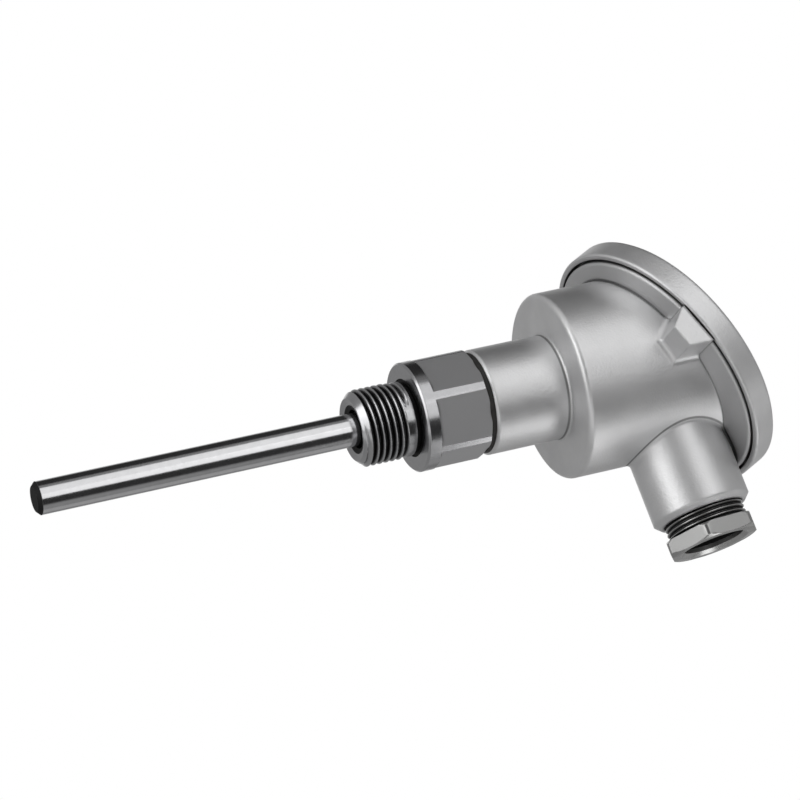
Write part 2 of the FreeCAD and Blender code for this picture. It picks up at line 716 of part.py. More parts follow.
def make_spring(label, offset):
    """A pressure spring round one insert screw, between the plate and the screw head."""
    place = shifted(UPRIGHT, along=offset, up="plate_top + spring_end_gap + spring_wire / 2")
    body = new_body(label, place)
    section = new_sketch(body, "Wire", "XZ_Plane")
    draw_circle(section, "spring_wire", across="screw_outer / 2 + spring_clearance + spring_wire / 2")
    coil = body.newObject("PartDesign::AdditiveHelix", "Coil")
    coil.Profile = section
    coil.ReferenceAxis = (section, ["V_Axis"])
    coil.Mode = 0
    height = "spring_space - 2 * spring_end_gap - spring_wire"
    bind(coil, Height=height, Pitch=f"({height}) / spring_turns")


def box(name, length, width, height, place):
    """A block centred on its frame's X axis, starting at the frame's origin."""
    item = doc.addObject("Part::Box", name)
    bind(item, Length=length, Width=width, Height=height,
         Placement=shifted(place, along=f"-({width}) / 2"))
    return item


def rod(name, diameter, height, place):
    """A cylinder that stands on its frame's origin."""
    item = doc.addObject("Part::Cylinder", name)
    bind(item, Radius=f"({diameter}) / 2", Height=height, Placement=place)
    return item


def carve(label, blank, tools):
    """A piece that is a blank less its tools."""
    joined = doc.addObject("Part::MultiFuse", label + "Tools")
    joined.Shapes = tools
    item = doc.addObject("Part::Cut", label)
    item.Base, item.Tool = blank, joined
    item.Label = label
    return item


def make_terminal_block():
    """The ceramic block with a central well, four terminal pockets and two fixing screws."""
    base = shifted(UPRIGHT, up="plate_top")
    round_blank = rod("BlockRound", "block_outer", "block_height", base)
    sides = box("BlockSides", "block_outer", "block_width", "block_height",
                shifted(base, across="-block_outer / 2"))
    blank = doc.addObject("Part::Common", "BlockBlank")
    blank.Base, blank.Tool = round_blank, sides
    tools = [
        rod("BlockHole", "block_hole", "block_height", base),
        rod("BlockWell", "well_outer", "well_depth", shifted(base, up="block_height - well_depth")),
    ]
    for number, azimuth in enumerate(TERMINAL_AZIMUTHS, 1):
        bottom = shifted(turned_by(UPRIGHT, azimuth), up="terminal_bottom")
        tools.append(box(
            f"TerminalPocket{number}", "block_outer / 2", "terminal_width + 2 * terminal_gap",
            "terminal_height + terminal_gap", shifted(bottom, across="terminal_inner - terminal_gap"),
        ))
        level = shifted(turned_by(UPRIGHT, azimuth), up="wire_level - wire_slot / 2")
        tools.append(box(f"WireSlot{number}", "terminal_inner", "wire_slot", "block_height", level))
    for side in ("-", ""):
        centre = shifted(base, across=side + "block_screw_offset")
        name = "Near" if side else "Far"
        tools.append(rod("FixingHole" + name, "block_screw + 2 * running_gap", "block_height", centre))
        tools.append(rod("FixingSeat" + name, "block_screw_head + 2 * block_screw_clearance", "block_height",
                         shifted(centre, up="block_screw_seat")))
    carve("terminal_block", blank, tools)

    screws = doc.addObject("Part::MultiFuse", "block_screws")
    screws.Label = "block_screws"
    parts = []
    for side in ("-", ""):
        centre = shifted(UPRIGHT, across=side + "block_screw_offset", up="plate_bottom")
        name = "Near" if side else "Far"
        parts.append(rod("FixingShank" + name, "block_screw", "plate_thickness + block_screw_seat", centre))
        parts.append(rod("FixingHead" + name, "block_screw_head", "block_screw_head_height",
                         shifted(centre, up="plate_thickness + block_screw_seat")))
    screws.Shapes = parts


def make_terminals():
    """Four brass terminals, each with two clamping screws, and the screws as one group."""
    inner = "terminal_inner"
    screw_parts = []
    for number, azimuth in enumerate(TERMINAL_AZIMUTHS, 1):
        bottom = shifted(turned_by(UPRIGHT, azimuth), across=inner, up="terminal_bottom")
        blank = box(f"TerminalBlank{number}", "terminal_length", "terminal_width", "terminal_height", bottom)
        lengthwise = f"{shifted(bottom, up='terminal_height / 2')}" \
            " * placement(vector(0; 0; 0); rotation(vector(0; 1; 0); 90))"
        tools = [
            rod(f"WireBore{number}", "terminal_wire_bore", "terminal_length", lengthwise),
            rod(f"CableBore{number}", "terminal_cable_bore", "terminal_length",
                shifted(lengthwise, up="terminal_length / 2")),
        ]
        for step, side in (("Inner", "-"), ("Outer", "+")):
            centre = shifted(bottom, across=f"terminal_length / 2 {side} terminal_screw_spacing / 2",
                             up="terminal_height / 2")
            tools.append(rod(f"ScrewBore{step}{number}", "terminal_screw + 2 * running_gap",
                             "terminal_height / 2", centre))
            screw_parts.append(rod(
                f"ClampScrew{step}{number}", "terminal_screw",
                "terminal_height / 2 - wire_outer / 2 + terminal_screw_proud",
                shifted(centre, up="wire_outer / 2"),
            ))
        carve(f"terminal_{number}", blank, tools)
    screws = doc.addObject("Part::MultiFuse", "terminal_screws")
    screws.Label = "terminal_screws"
    screws.Shapes = screw_parts


def write_parts(labels):
    """See that every object computed and every piece is sound, then write one file each."""
    doc.recompute()
    for item in doc.Objects:
        if {"Invalid", "Error"} & set(item.State):
            raise RuntimeError(f"{item.Label} failed: {item.State}")
    pieces = {label: doc.getObjectsByLabel(label)[0].Shape for label in labels}
    for label, shape in pieces.items():
        if shape.isNull() or not shape.isValid() or not shape.Solids:
            raise RuntimeError(f"{label} has no sound solid")
    os.makedirs("parts", exist_ok=True)
    for label, shape in pieces.items():
        shape.exportStep(f"parts/{label}.step")
        print(f"{label}: {len(shape.Solids)} solid, {shape.Volume:.1f} mm3")


fill_sheet()
make_protection_tube()
make_process_fitting()
ring("neck_seal", "spigot_outer + 2 * running_gap", "neck_seal_outer", "hex_top", "neck_bottom")
make_head_body()
make_lid()
ring("lid_gasket", "gasket_inner", "gasket_outer", "flange_thickness",
     "flange_thickness + gasket_thickness", LID)
for side, sign in (("near", "-"), ("far", "")):
    slotted_screw(f"lid_screw_{side}", "lid_seat", "-lid_screw_end",
                  shifted(LID, along=sign + "lid_screw_offset"))
    slotted_screw(f"insert_screw_{side}", "spring_top", "boss_top - boss_hole_depth + running_gap",
                  shifted(UPRIGHT, along=sign + "insert_screw_offset"))
    make_spring(f"insert_spring_{side}", sign + "insert_screw_offset")
make_gland()
make_insert_core()
for number, azimuth in enumerate(TERMINAL_AZIMUTHS, 1):
    make_lead_wire(number, azimuth)
make_terminal_block()
make_terminals()
write_parts([
    "protection_tube", "process_fitting", "neck_seal", "head_body", "lid", "lid_gasket",
    "lid_screw_near", "lid_screw_far", "gland_washer", "gland_seal", "gland_pressure_ring",
    "gland_screw", "insert_plate", "insert_bush", "insert_sheath", "mineral_filling",
    "sensing_element", "insert_screw_near", "insert_screw_far", "insert_spring_near",
    "insert_spring_far", "terminal_block", "block_screws", "terminal_screws",
    *(f"terminal_{number}" for number in range(1, 5)),
    *(f"lead_wire_{number}" for number in range(1, 5)),
])
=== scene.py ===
"""Screw-in resistance thermometer with a cast connection head, dressed for a studio picture.

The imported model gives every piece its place. This script winds the real threads, gives each
surface its finish and sets up a pale studio with the camera at the photograph's angle.
"""

from __future__ import annotations

import json
import logging
import math
from dataclasses import asdict, dataclass, field, fields
from enum import Enum
from typing import Iterable, Mapping, Optional, Sequence, Union

import bmesh
import bpy
from mathutils import Matrix, Vector


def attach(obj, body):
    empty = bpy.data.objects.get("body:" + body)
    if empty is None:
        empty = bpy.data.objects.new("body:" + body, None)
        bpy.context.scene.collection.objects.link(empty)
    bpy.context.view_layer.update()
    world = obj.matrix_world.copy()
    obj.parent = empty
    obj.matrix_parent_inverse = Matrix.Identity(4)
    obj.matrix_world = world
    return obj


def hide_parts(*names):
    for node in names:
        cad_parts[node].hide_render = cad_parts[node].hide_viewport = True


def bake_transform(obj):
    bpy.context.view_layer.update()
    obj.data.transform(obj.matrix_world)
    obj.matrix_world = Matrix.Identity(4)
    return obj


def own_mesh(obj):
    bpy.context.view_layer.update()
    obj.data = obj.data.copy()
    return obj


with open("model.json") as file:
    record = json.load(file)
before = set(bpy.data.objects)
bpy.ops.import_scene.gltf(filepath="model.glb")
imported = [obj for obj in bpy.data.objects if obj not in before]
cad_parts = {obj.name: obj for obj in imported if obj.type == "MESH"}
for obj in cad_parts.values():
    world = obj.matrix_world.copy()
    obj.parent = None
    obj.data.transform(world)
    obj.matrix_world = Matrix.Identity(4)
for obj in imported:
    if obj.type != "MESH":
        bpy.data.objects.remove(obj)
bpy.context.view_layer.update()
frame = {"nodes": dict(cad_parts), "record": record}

log = logging.getLogger("probe")

MM = 0.001
WELD = 1e-6
EDGE_ANGLE = math.radians(32)
BEVEL_RINGS = 6

# Face attributes of the turned pieces: milled or bored skin, and recessed skin with painted shade.
DULL, RECESS_SHADE = "dull", "stain"

# The slanted lid and the tilted cable entry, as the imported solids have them.
LID_SLOPE = math.radians(24.5)
SLOPE_BASE = 72.3 * MM
FLANGE_THICKNESS = 4.4 * MM
ENTRY_TURN = math.pi / 2 - math.radians(3.0)
ENTRY_CENTRE = (0.0, 0.0, 71.0 * MM)

# The casting's corners, where thin lines of painted shade run: radius and height at the neck, both
# radii at the entry.
NECK_CORNER = (14.55 * MM, 41.35 * MM)
ENTRY_CORNER = (25.75 * MM, 14.75 * MM)
CORNER_SHADE_REACH = (0.16 * MM, 0.5 * MM)
# Where the painted shade on the flange under the lid starts and ends, outwards and upwards from the
# lid's frame.
UNDER_LID_SHADE_EDGE = (36.9 * MM, 37.2 * MM)
UNDER_LID_SHADE_BOTTOM = (-0.3 * MM, -0.02 * MM)
UNDER_LID_SHADE_TOP = (FLANGE_THICKNESS - 0.3 * MM, FLANGE_THICKNESS - 0.1 * MM)

# Painted shade in crevices, recesses and the casting's corners, and the tube's darker tip: colour,
# roughness, shares and the tip's fade.
CREVICE_SHADE_COLOR = (0.012, 0.012, 0.012)
CREVICE_SHADE_ROUGHNESS = 0.7
RECESS_SHADE_SHARE, TIP_DARKENING_SHARE, CORNER_SHADE_SHARE = 0.93, 0.97, 0.62
TIP_DARKENING_FADE = 0.25 * MM
GLAZE_ROUGHNESS = 0.08
# A patch of mottling is this many marks wide; drawing lines are this much finer than long.
MOTTLE_SPAN, DRAW_RATIO = 14, 0.01
MOTTLE_RANGE = (0.3, 0.7)
FEW_OCTAVES, MORE_OCTAVES = 2.0, 3.0
CREVICE_SAMPLES, EDGE_SAMPLES = 8, 6

Number = Union[float, "Value"]
Color = tuple[float, float, float]
Settings = Optional[Mapping[str, object]]
Sockets = Optional[Mapping[Union[str, int], object]]


class Value:
    """One output socket of a node tree, whose operators add Math nodes."""

    def __init__(self, graph: Graph, socket: bpy.types.NodeSocket) -> None:
        """Keep the output socket and the graph that new nodes go into."""
        self.graph, self.socket = graph, socket

    def math(self, operation: str, *values: Number) -> Value:
        """Return what one Math node, such as "ADD", makes of up to three values."""
        return self.graph.add("ShaderNodeMath", dict(enumerate(values)), {"operation": operation})

    def __add__(self, other: Number) -> Value:
        """Return self + other."""
        return self.math("ADD", self, other)

    def __radd__(self, other: Number) -> Value:
        """Return other + self."""
        return self.math("ADD", other, self)

    def __sub__(self, other: Number) -> Value:
        """Return self - other."""
        return self.math("SUBTRACT", self, other)

    def __rsub__(self, other: Number) -> Value:
        """Return other - self."""
        return self.math("SUBTRACT", other, self)

    def __mul__(self, other: Number) -> Value:
        """Return self * other."""
        return self.math("MULTIPLY", self, other)

    def __rmul__(self, other: Number) -> Value:
        """Return other * self."""
        return self.math("MULTIPLY", other, self)

    def __truediv__(self, other: Number) -> Value:
        """Return self / other."""
        return self.math("DIVIDE", self, other)

    def __pow__(self, other: Number) -> Value:
        """Return self to the power of other."""
        return self.math("POWER", self, other)

    def fract(self) -> Value:
        """Return the part after the decimal point."""
        return self.math("FRACT", self)

    def size(self) -> Value:
        """Return the value without its sign."""
        return self.math("ABSOLUTE", self)

    def sine(self) -> Value:
        """Return the sine of an angle in radians."""
        return self.math("SINE", self)

    def cosine(self) -> Value:
        """Return the cosine of an angle in radians."""
        return self.math("COSINE", self)

    def at_least(self, other: Number) -> Value:
        """Return the larger of the two."""
        return self.math("MAXIMUM", self, other)

    def at_most(self, other: Number) -> Value:
        """Return the smaller of the two."""
        return self.math("MINIMUM", self, other)

    def smooth(self, low: Number, high: Number) -> Value:
        """Return the value eased, which rises from 0 at `low` to 1 at `high`."""
        settings = {"interpolation_type": "SMOOTHSTEP"}
        return self.graph.add("ShaderNodeMapRange", {0: self, 1: low, 2: high}, settings)


class Graph:
    """A node tree with one method for every kind of node."""

    def __init__(self, tree: bpy.types.NodeTree) -> None:
        """Wrap a shader, world or geometry tree."""
        self.tree = tree

    def node(self, kind: str, sockets: Sockets = None, settings: Settings = None) -> bpy.types.Node:
        """Add a node, set its settings first and then fill its sockets.

        Args:
            kind: The node's type name.
            sockets: Numbers, vectors or values for its inputs, by name or place.
            settings: Its properties, such as a Math node's operation.

        Returns:
            The new node.
        """
        made = self.tree.nodes.new(kind)
        for name, setting in (settings or {}).items():
            setattr(made, name, setting)
        for key, given in (sockets or {}).items():
            if isinstance(given, Value):
                self.tree.links.new(given.socket, made.inputs[key])
            else:
                made.inputs[key].default_value = given
        return made

    def add(
        self, kind: str, sockets: Sockets = None, settings: Settings = None,
        output: Union[str, int] = 0,
    ) -> Value:
        """Add a node as `node` does, and return the named or numbered output."""
        return Value(self, self.node(kind, sockets, settings).outputs[output])

    def place(self, centre: Sequence[float] = (0.0, 0.0, 0.0), tilt: float = 0.0) -> Value:
        """Object coordinates, read in a frame of their own.

        Args:
            centre: The frame's origin.
            tilt: The frame's turn about Y, in radians.

        Returns:
            The coordinates as a vector value.
        """
        place = self.add("ShaderNodeTexCoord", output="Object")
        if not tilt and not any(centre):
            return place
        sockets = {"Vector": place, "Location": centre, "Rotation": (0.0, tilt, 0.0)}
        return self.add("ShaderNodeMapping", sockets, {"vector_type": "TEXTURE"})

    def split(self, vector: Value) -> tuple[Value, ...]:
        """Return the vector's X, Y and Z."""
        made = self.node("ShaderNodeSeparateXYZ", {0: vector})
        return tuple(Value(self, output) for output in made.outputs)

    def ring(self, place: Value) -> tuple[Value, Value]:
        """Return the place's distance from the Z axis and its height."""
        across, along, up = self.split(place)
        return (across * across + along * along) ** 0.5, up

    def rays(self) -> tuple[Value, Value]:
        """Tell the camera's rays from those in mirrors and glass.

        Returns:
            1 for what the camera sees itself, and 1 for what metal or glass shows.
        """
        made = self.node("ShaderNodeLightPath")
        names = ("Is Camera Ray", "Is Glossy Ray", "Is Transmission Ray")
        seen, mirrored, through = (Value(self, made.outputs[name]) for name in names)
        return seen, mirrored.at_least(through)

    def mix_colors(
        self, share: Number, low: Union[Color, Value], high: Union[Color, Value]
    ) -> Value:
        """Blend two colours.

        Args:
            share: 0 for the first colour and 1 for the second.
            low: The first colour.
            high: The second colour.

        Returns:
            The blended colour.
        """
        ends = {6: low, 7: high}
        sockets = {k: end if isinstance(end, Value) else (*end, 1.0) for k, end in ends.items()}
        return self.add("ShaderNodeMix", {0: share, **sockets}, {"data_type": "RGBA"}, 2)


class Grain(Enum):
    """How the skin of a material is marked."""

    CAST = "fine grain of a blasted casting"
    TURNED = "turning lines round the axis"
    DRAWN = "drawing lines along the axis"
    MOULDED = "faint all-over unevenness"


def new_material(name: str) -> tuple[bpy.types.Material, Graph]:
    """Start an empty material.

    Args:
        name: The material's name.

    Returns:
        The material and its graph.
    """
    material = bpy.data.materials.new(name)
    material.use_nodes = True
    material.node_tree.nodes.clear()
    return material, Graph(material.node_tree)


@dataclass(frozen=True)
class Finish:
    """One surface finish, built as a procedural material.

    Attributes:
        slot: The record's material slot that the finish dresses.
        color: Its base colour.
        shade: How much darker the darkest mottling is, from 0 to 1.
        roughness: Mean roughness.
        spread: How far roughness varies either way.
        metallic: 1 for bare metal and 0 for the rest.
        grain: The kind of marks on the skin.
        grain_size: Width of one mark, in metres.
        relief: Height of the marks, in metres.
        edge_round: Radius that softens the edges in the shading, in metres.
        coat: Weight of a clear glaze on top.
        tilt: Turn about Y that lays the pattern's axis along Z, in radians.
        centre: A point on the pattern's axis.
        crevice_shade: How dark the painted shade in crevices is, from 0 to 1.
        crevice_shade_reach: How far from a crevice's walls it reaches, in metres.
        crevice_shade_range: Openness at which the painted shade is full, and at which it ends.
        dull_roughness: Roughness of milled flats and bores, or 0 for the same as elsewhere.
        dull_color: Base colour there.
        under_lid_shade: How much darker the painted shade makes the skin under the lid's edge, from
            0 to 1.
        shaded_corners: Whether the casting's corners have thin lines of painted shade.
        tip_darkening: Height below which the metal is darker, towards the tip, or 0 for none.
    """

    slot: str
    color: Color
    shade: float
    roughness: float
    spread: float
    metallic: float
    grain: Grain
    grain_size: float
    relief: float
    edge_round: float = 0.0
    coat: float = 0.0
    tilt: float = 0.0
    centre: tuple[float, float, float] = (0.0, 0.0, 0.0)
    crevice_shade: float = 0.0
    crevice_shade_reach: float = 1.2 * MM
    crevice_shade_range: tuple[float, float] = (0.45, 0.85)
    dull_roughness: float = 0.0
    dull_color: Color = (0.6, 0.6, 0.6)
    under_lid_shade: float = 0.0
    shaded_corners: bool = False
    tip_darkening: float = 0.0

    def build(self) -> bpy.types.Material:
        """Make the material.

        Returns:
            The finished material, named after its slot.
        """
        material, graph = new_material(self.slot + "_finish")
        place = graph.place(self.centre, self.tilt)
        marks = self._marks(graph, place)
        mottle = self._noise(graph, place, MOTTLE_SPAN * self.grain_size, FEW_OCTAVES)
        color = graph.mix_colors(mottle.smooth(*MOTTLE_RANGE), self._dimmed(self.shade), self.color)
        rough = (mottle * 0.5 + marks * 0.5 - 0.5) * (2 * self.spread) + self.roughness
        if self.dull_roughness:
            dull = graph.add("ShaderNodeAttribute", None, {"attribute_name": DULL}, "Fac")
            rough = rough + dull * (self.dull_roughness - self.roughness)
            color = graph.mix_colors(dull, color, self.dull_color)
        # Painted shade on the flange under the lid's overhanging edge.
        if self.under_lid_shade:
            color = graph.mix_colors(self._under_lid_shade_mask(graph), color, self._dimmed(self.under_lid_shade))
        # Painted shade in crevices, recesses and corners, darker and rougher, together with the
        # tube's darker tip.
        if self.crevice_shade:
            darkening = self._darkening(graph)
            color = graph.mix_colors(darkening, color, CREVICE_SHADE_COLOR)
            rough = rough.at_least(darkening * CREVICE_SHADE_ROUGHNESS)
        shader = graph.add("ShaderNodeBsdfPrincipled", {
            "Base Color": color, "Roughness": rough, "Normal": self._normal(graph, marks),
            "Metallic": self.metallic, "Coat Weight": self.coat,
            "Coat Roughness": GLAZE_ROUGHNESS,
        })
        graph.node("ShaderNodeOutputMaterial", {"Surface": shader})
        return material

    def _dimmed(self, share: float) -> Color:
        """Return the base colour made darker by a share."""
        return tuple(channel * (1 - share) for channel in self.color)

    def _darkening(self, graph: Graph) -> Value:
        """Painted shade where the surface is hemmed in, in recesses and in corners, and the tube's
        darker tip.

        Args:
            graph: The material's graph.

        Returns:
            The darkening's share, from 0 to 1.
        """
        # Ambient occlusion paints shade into crevices.
        settings = {"samples": CREVICE_SAMPLES}
        sockets = {"Distance": self.crevice_shade_reach}
        openness = graph.add("ShaderNodeAmbientOcclusion", sockets, settings, "AO")
        darkening = (1.0 - openness.smooth(*self.crevice_shade_range)) * self.crevice_shade
        # Recesses marked in the turned pieces get painted shade.
        if self.dull_roughness:
            stain = graph.add("ShaderNodeAttribute", None, {"attribute_name": RECESS_SHADE}, "Fac")
            darkening = darkening.at_least(stain * RECESS_SHADE_SHARE)
        # The metal is darker below a height near the tip.
        if self.tip_darkening:
            _, height = graph.ring(graph.place())
            tip_dark = 1.0 - height.smooth(self.tip_darkening, self.tip_darkening + TIP_DARKENING_FADE)
            darkening = darkening.at_least(tip_dark * TIP_DARKENING_SHARE)
        # Thin lines of painted shade in the casting's corners.
        if self.shaded_corners:
            darkening = darkening.at_least(self._corner_shade_lines(graph) * CORNER_SHADE_SHARE)
        return darkening

    def _corner_shade_lines(self, graph: Graph) -> Value:
        """Thin lines of painted shade where the neck and the cable entry leave the drum.

        Args:
            graph: The material's graph.

        Returns:
            The share, from 0 to 1.
        """
        radius, height = graph.ring(graph.place())
        entry_radius, outward = graph.ring(graph.place(ENTRY_CENTRE, ENTRY_TURN))
        corners = (
            (radius - NECK_CORNER[0], height - NECK_CORNER[1]),
            (radius - ENTRY_CORNER[0], entry_radius - ENTRY_CORNER[1]),
        )
        neck, entry = (
            1.0 - ((first * first + second * second) ** 0.5).smooth(*CORNER_SHADE_REACH)
            for first, second in corners
        )
        return neck.at_least(entry * outward.smooth(0.0, NECK_CORNER[0]))

    def _under_lid_shade_mask(self, graph: Graph) -> Value:
        """Painted shade on the skin of the head's flange, under the lid's overhanging edge.

        Args:
            graph: The material's graph.

        Returns:
            The share, from 0 to 1.
        """
        radius, up = graph.ring(graph.place(Place.LID.matrix().translation, -LID_SLOPE))
        inside = (1.0 - radius.smooth(*UNDER_LID_SHADE_EDGE)) * up.smooth(*UNDER_LID_SHADE_BOTTOM)
        return inside * (1.0 - up.smooth(*UNDER_LID_SHADE_TOP))

    def _noise(self, graph: Graph, place: Value, size: float, detail: float) -> Value:
        """Return a noise from 0 to 1, with marks of a size in metres and octaves of detail."""
        sockets = {"Vector": place, "Scale": 1 / size, "Detail": detail}
        return graph.add("ShaderNodeTexNoise", sockets)

    def _marks(self, graph: Graph, place: Value) -> Value:
        """The fine marks that the finish's process leaves.

        Args:
            graph: The material's graph.
            place: The pattern's coordinates.

        Returns:
            Marks between 0 and 1.
        """
        if self.grain in (Grain.CAST, Grain.MOULDED):
            return self._noise(graph, place, self.grain_size, MORE_OCTAVES)
        across, along, up = graph.split(place)
        if self.grain is Grain.TURNED:
            sockets = {"X": graph.ring(place)[0], "Y": 0.0, "Z": up}
        else:
            sockets = {"X": across, "Y": along, "Z": up * DRAW_RATIO}
        flattened = graph.add("ShaderNodeCombineXYZ", sockets)
        return self._noise(graph, flattened, self.grain_size, FEW_OCTAVES)

    def _normal(self, graph: Graph, marks: Value) -> Value:
        """The surface normal with softened edges and raised marks.

        Args:
            graph: The material's graph.
            marks: The marks' height between 0 and 1.

        Returns:
            The normal as a vector value.
        """
        sockets: dict[str, object] = {"Height": marks, "Distance": self.relief}
        if self.edge_round:
            bevel = {"Radius": self.edge_round}
            sockets["Normal"] = graph.add("ShaderNodeBevel", bevel, {"samples": EDGE_SAMPLES})
        return graph.add("ShaderNodeBump", sockets)


FINISHES = (
    Finish("cast_aluminium", (0.8, 0.8, 0.805), 0.06, 0.43, 0.05, 0.88, Grain.CAST,
           0.6 * MM, 0.06 * MM, edge_round=0.9 * MM, crevice_shade=0.75, crevice_shade_reach=1.1 * MM,
           crevice_shade_range=(0.55, 0.88), under_lid_shade=0.22, shaded_corners=True),
    Finish("fitting_steel", (0.47, 0.47, 0.48), 0.05, 0.22, 0.05, 1.0, Grain.TURNED,
           0.12 * MM, 0.0015 * MM, edge_round=0.2 * MM, crevice_shade=1.0, crevice_shade_reach=1.3 * MM,
           crevice_shade_range=(0.6, 0.95), dull_roughness=0.46, dull_color=(0.62, 0.62, 0.63)),
    Finish("tube_steel", (0.64, 0.64, 0.65), 0.05, 0.17, 0.04, 1.0, Grain.DRAWN,
           0.15 * MM, 0.001 * MM, edge_round=0.12 * MM, crevice_shade=0.8, tip_darkening=-104.05 * MM),
    Finish("nickel_brass", (0.5, 0.5, 0.495), 0.05, 0.26, 0.05, 1.0, Grain.TURNED,
           0.12 * MM, 0.0015 * MM, edge_round=0.2 * MM, tilt=ENTRY_TURN, centre=ENTRY_CENTRE,
           crevice_shade=0.95, crevice_shade_reach=1.0 * MM, crevice_shade_range=(0.6, 0.95), dull_roughness=0.4,
           dull_color=(0.44, 0.44, 0.435)),
    Finish("screw_steel", (0.64, 0.64, 0.66), 0.05, 0.24, 0.06, 1.0, Grain.TURNED,
           0.12 * MM, 0.001 * MM, crevice_shade=0.8, crevice_shade_reach=0.6 * MM),
    Finish("spring_steel", (0.42, 0.42, 0.44), 0.1, 0.3, 0.06, 1.0, Grain.MOULDED,
           0.2 * MM, 0.001 * MM),
    Finish("seal_rubber", (0.022, 0.022, 0.022), 0.3, 0.62, 0.06, 0.0, Grain.MOULDED,
           0.2 * MM, 0.004 * MM),
    Finish("fibre_seal", (0.03, 0.028, 0.026), 0.4, 0.75, 0.05, 0.0, Grain.MOULDED,
           0.1 * MM, 0.006 * MM),
    Finish("ceramic", (0.78, 0.76, 0.71), 0.08, 0.38, 0.05, 0.0, Grain.MOULDED,
           0.5 * MM, 0.003 * MM, coat=0.5),
    Finish("mineral", (0.8, 0.79, 0.76), 0.1, 0.85, 0.05, 0.0, Grain.CAST,
           0.1 * MM, 0.004 * MM),
    Finish("terminal_brass", (0.78, 0.58, 0.28), 0.08, 0.26, 0.05, 1.0, Grain.MOULDED,
           0.4 * MM, 0.002 * MM),
    Finish("lead_copper", (0.85, 0.5, 0.33), 0.08, 0.3, 0.05, 1.0, Grain.DRAWN,
           0.1 * MM, 0.001 * MM),
)


class Place(Enum):
    """The frames that turned pieces stand in: their Z is the piece's own axis."""

    PROBE = "the probe axis, from the sealing face up"
    ENTRY = "the cable entry's axis, outwards from the probe axis"
    LID = "the lid's axis, upwards from the flange underside"

    def matrix(self, shift: Sequence[float] = (0.0, 0.0, 0.0)) -> Matrix:
        """The frame's placement.

        Args:
            shift: A move inside the frame, in metres.

        Returns:
            The matrix from the frame to the object's own coordinates.
        """
        if self is Place.ENTRY:
            base = Matrix.Translation(ENTRY_CENTRE) @ Matrix.Rotation(ENTRY_TURN, 4, "Y")
        elif self is Place.LID:
            rim_shift = FLANGE_THICKNESS * math.tan(LID_SLOPE)
            slope = Matrix.Translation((0, 0, SLOPE_BASE)) @ Matrix.Rotation(-LID_SLOPE, 4, "Y")
            base = slope @ Matrix.Translation((rim_shift, 0, 0))
        else:
            base = Matrix.Identity(4)
        return base @ Matrix.Translation(shift)


def ease(value: float, low: float, high: float) -> float:
    """Return the value eased, as `Value.smooth` does, from 0 at `low` to 1 at `high`."""
    share = min(max((value - low) / (high - low), 0.0), 1.0)
    return share * share * (3 - 2 * share)


def evaluated_mesh(carrier: bpy.types.Object) -> bpy.types.Mesh:
    """Turn an object with modifiers into a plain mesh and remove the object.

    Args:
        carrier: The object whose modifiers are wanted.

    Returns:
        The result as a new mesh.
    """
    bpy.context.scene.collection.objects.link(carrier)
    graph = bpy.context.evaluated_depsgraph_get()
    result = bpy.data.meshes.new_from_object(carrier.evaluated_get(graph))
    start = carrier.data
    bpy.data.objects.remove(carrier)
    bpy.data.meshes.remove(start)
    return result


def run_tree(
    tree: bpy.types.NodeTree, seed: bpy.types.Mesh, given: Mapping[str, object]
) -> bpy.types.Mesh:
    """Run a Geometry Nodes tree on a mesh, with its named inputs set.

    Args:
        tree: The tree.
        seed: The mesh that it starts from, which is used up.
        given: Values by input name.

    Returns:
        The result as a new mesh.
    """
    carrier = bpy.data.objects.new("carrier", seed)
    modifier = carrier.modifiers.new("tree", "NODES")
    modifier.node_group = tree
    for item in tree.interface.items_tree:
        if item.item_type == "SOCKET" and item.in_out == "INPUT" and item.name in given:
            modifier[item.identifier] = given[item.name]
    return evaluated_mesh(carrier)


def new_tree(name: str, sizes: Iterable[str]) -> tuple[Graph, dict[str, Value]]:
    """Start a Geometry Nodes tree with a geometry, named sizes and a material for inputs.

    Args:
        name: The tree's name.
        sizes: Names of the inputs that are numbers.

    Returns:
        The graph and its inputs by name.
    """
    tree = bpy.data.node_groups.new(name, "GeometryNodeTree")
    kinds = {"Geometry": "Geometry", **dict.fromkeys(sizes, "Float"), "Material": "Material"}
    for label, kind in kinds.items():
        tree.interface.new_socket(label, in_out="INPUT", socket_type="NodeSocket" + kind)
    tree.interface.new_socket("Geometry", in_out="OUTPUT", socket_type="NodeSocketGeometry")
    graph = Graph(tree)
    given = graph.node("NodeGroupInput")
    return graph, {label: Value(graph, given.outputs[label]) for label in kinds}


def close_tree(graph: Graph, geometry: Value, material: Value) -> bpy.types.NodeTree:
    """End a tree in Realize Instances and Set Material.

    Args:
        graph: The tree's graph.
        geometry: What the tree has made.
        material: The material input.

    Returns:
        The finished tree.
    """
    whole = graph.add("GeometryNodeRealizeInstances", {0: geometry})
    painted = graph.add("GeometryNodeSetMaterial", {"Geometry": whole, "Material": material})
    graph.node("NodeGroupOutput", {0: painted})
    return graph.tree


def shape_smoothly(mesh: bpy.types.Mesh) -> None:
    """Shade a mesh smooth except across its real edges."""
    mesh.polygons.foreach_set("use_smooth", [True] * len(mesh.polygons))
    mesh.set_sharp_from_angle(angle=EDGE_ANGLE)


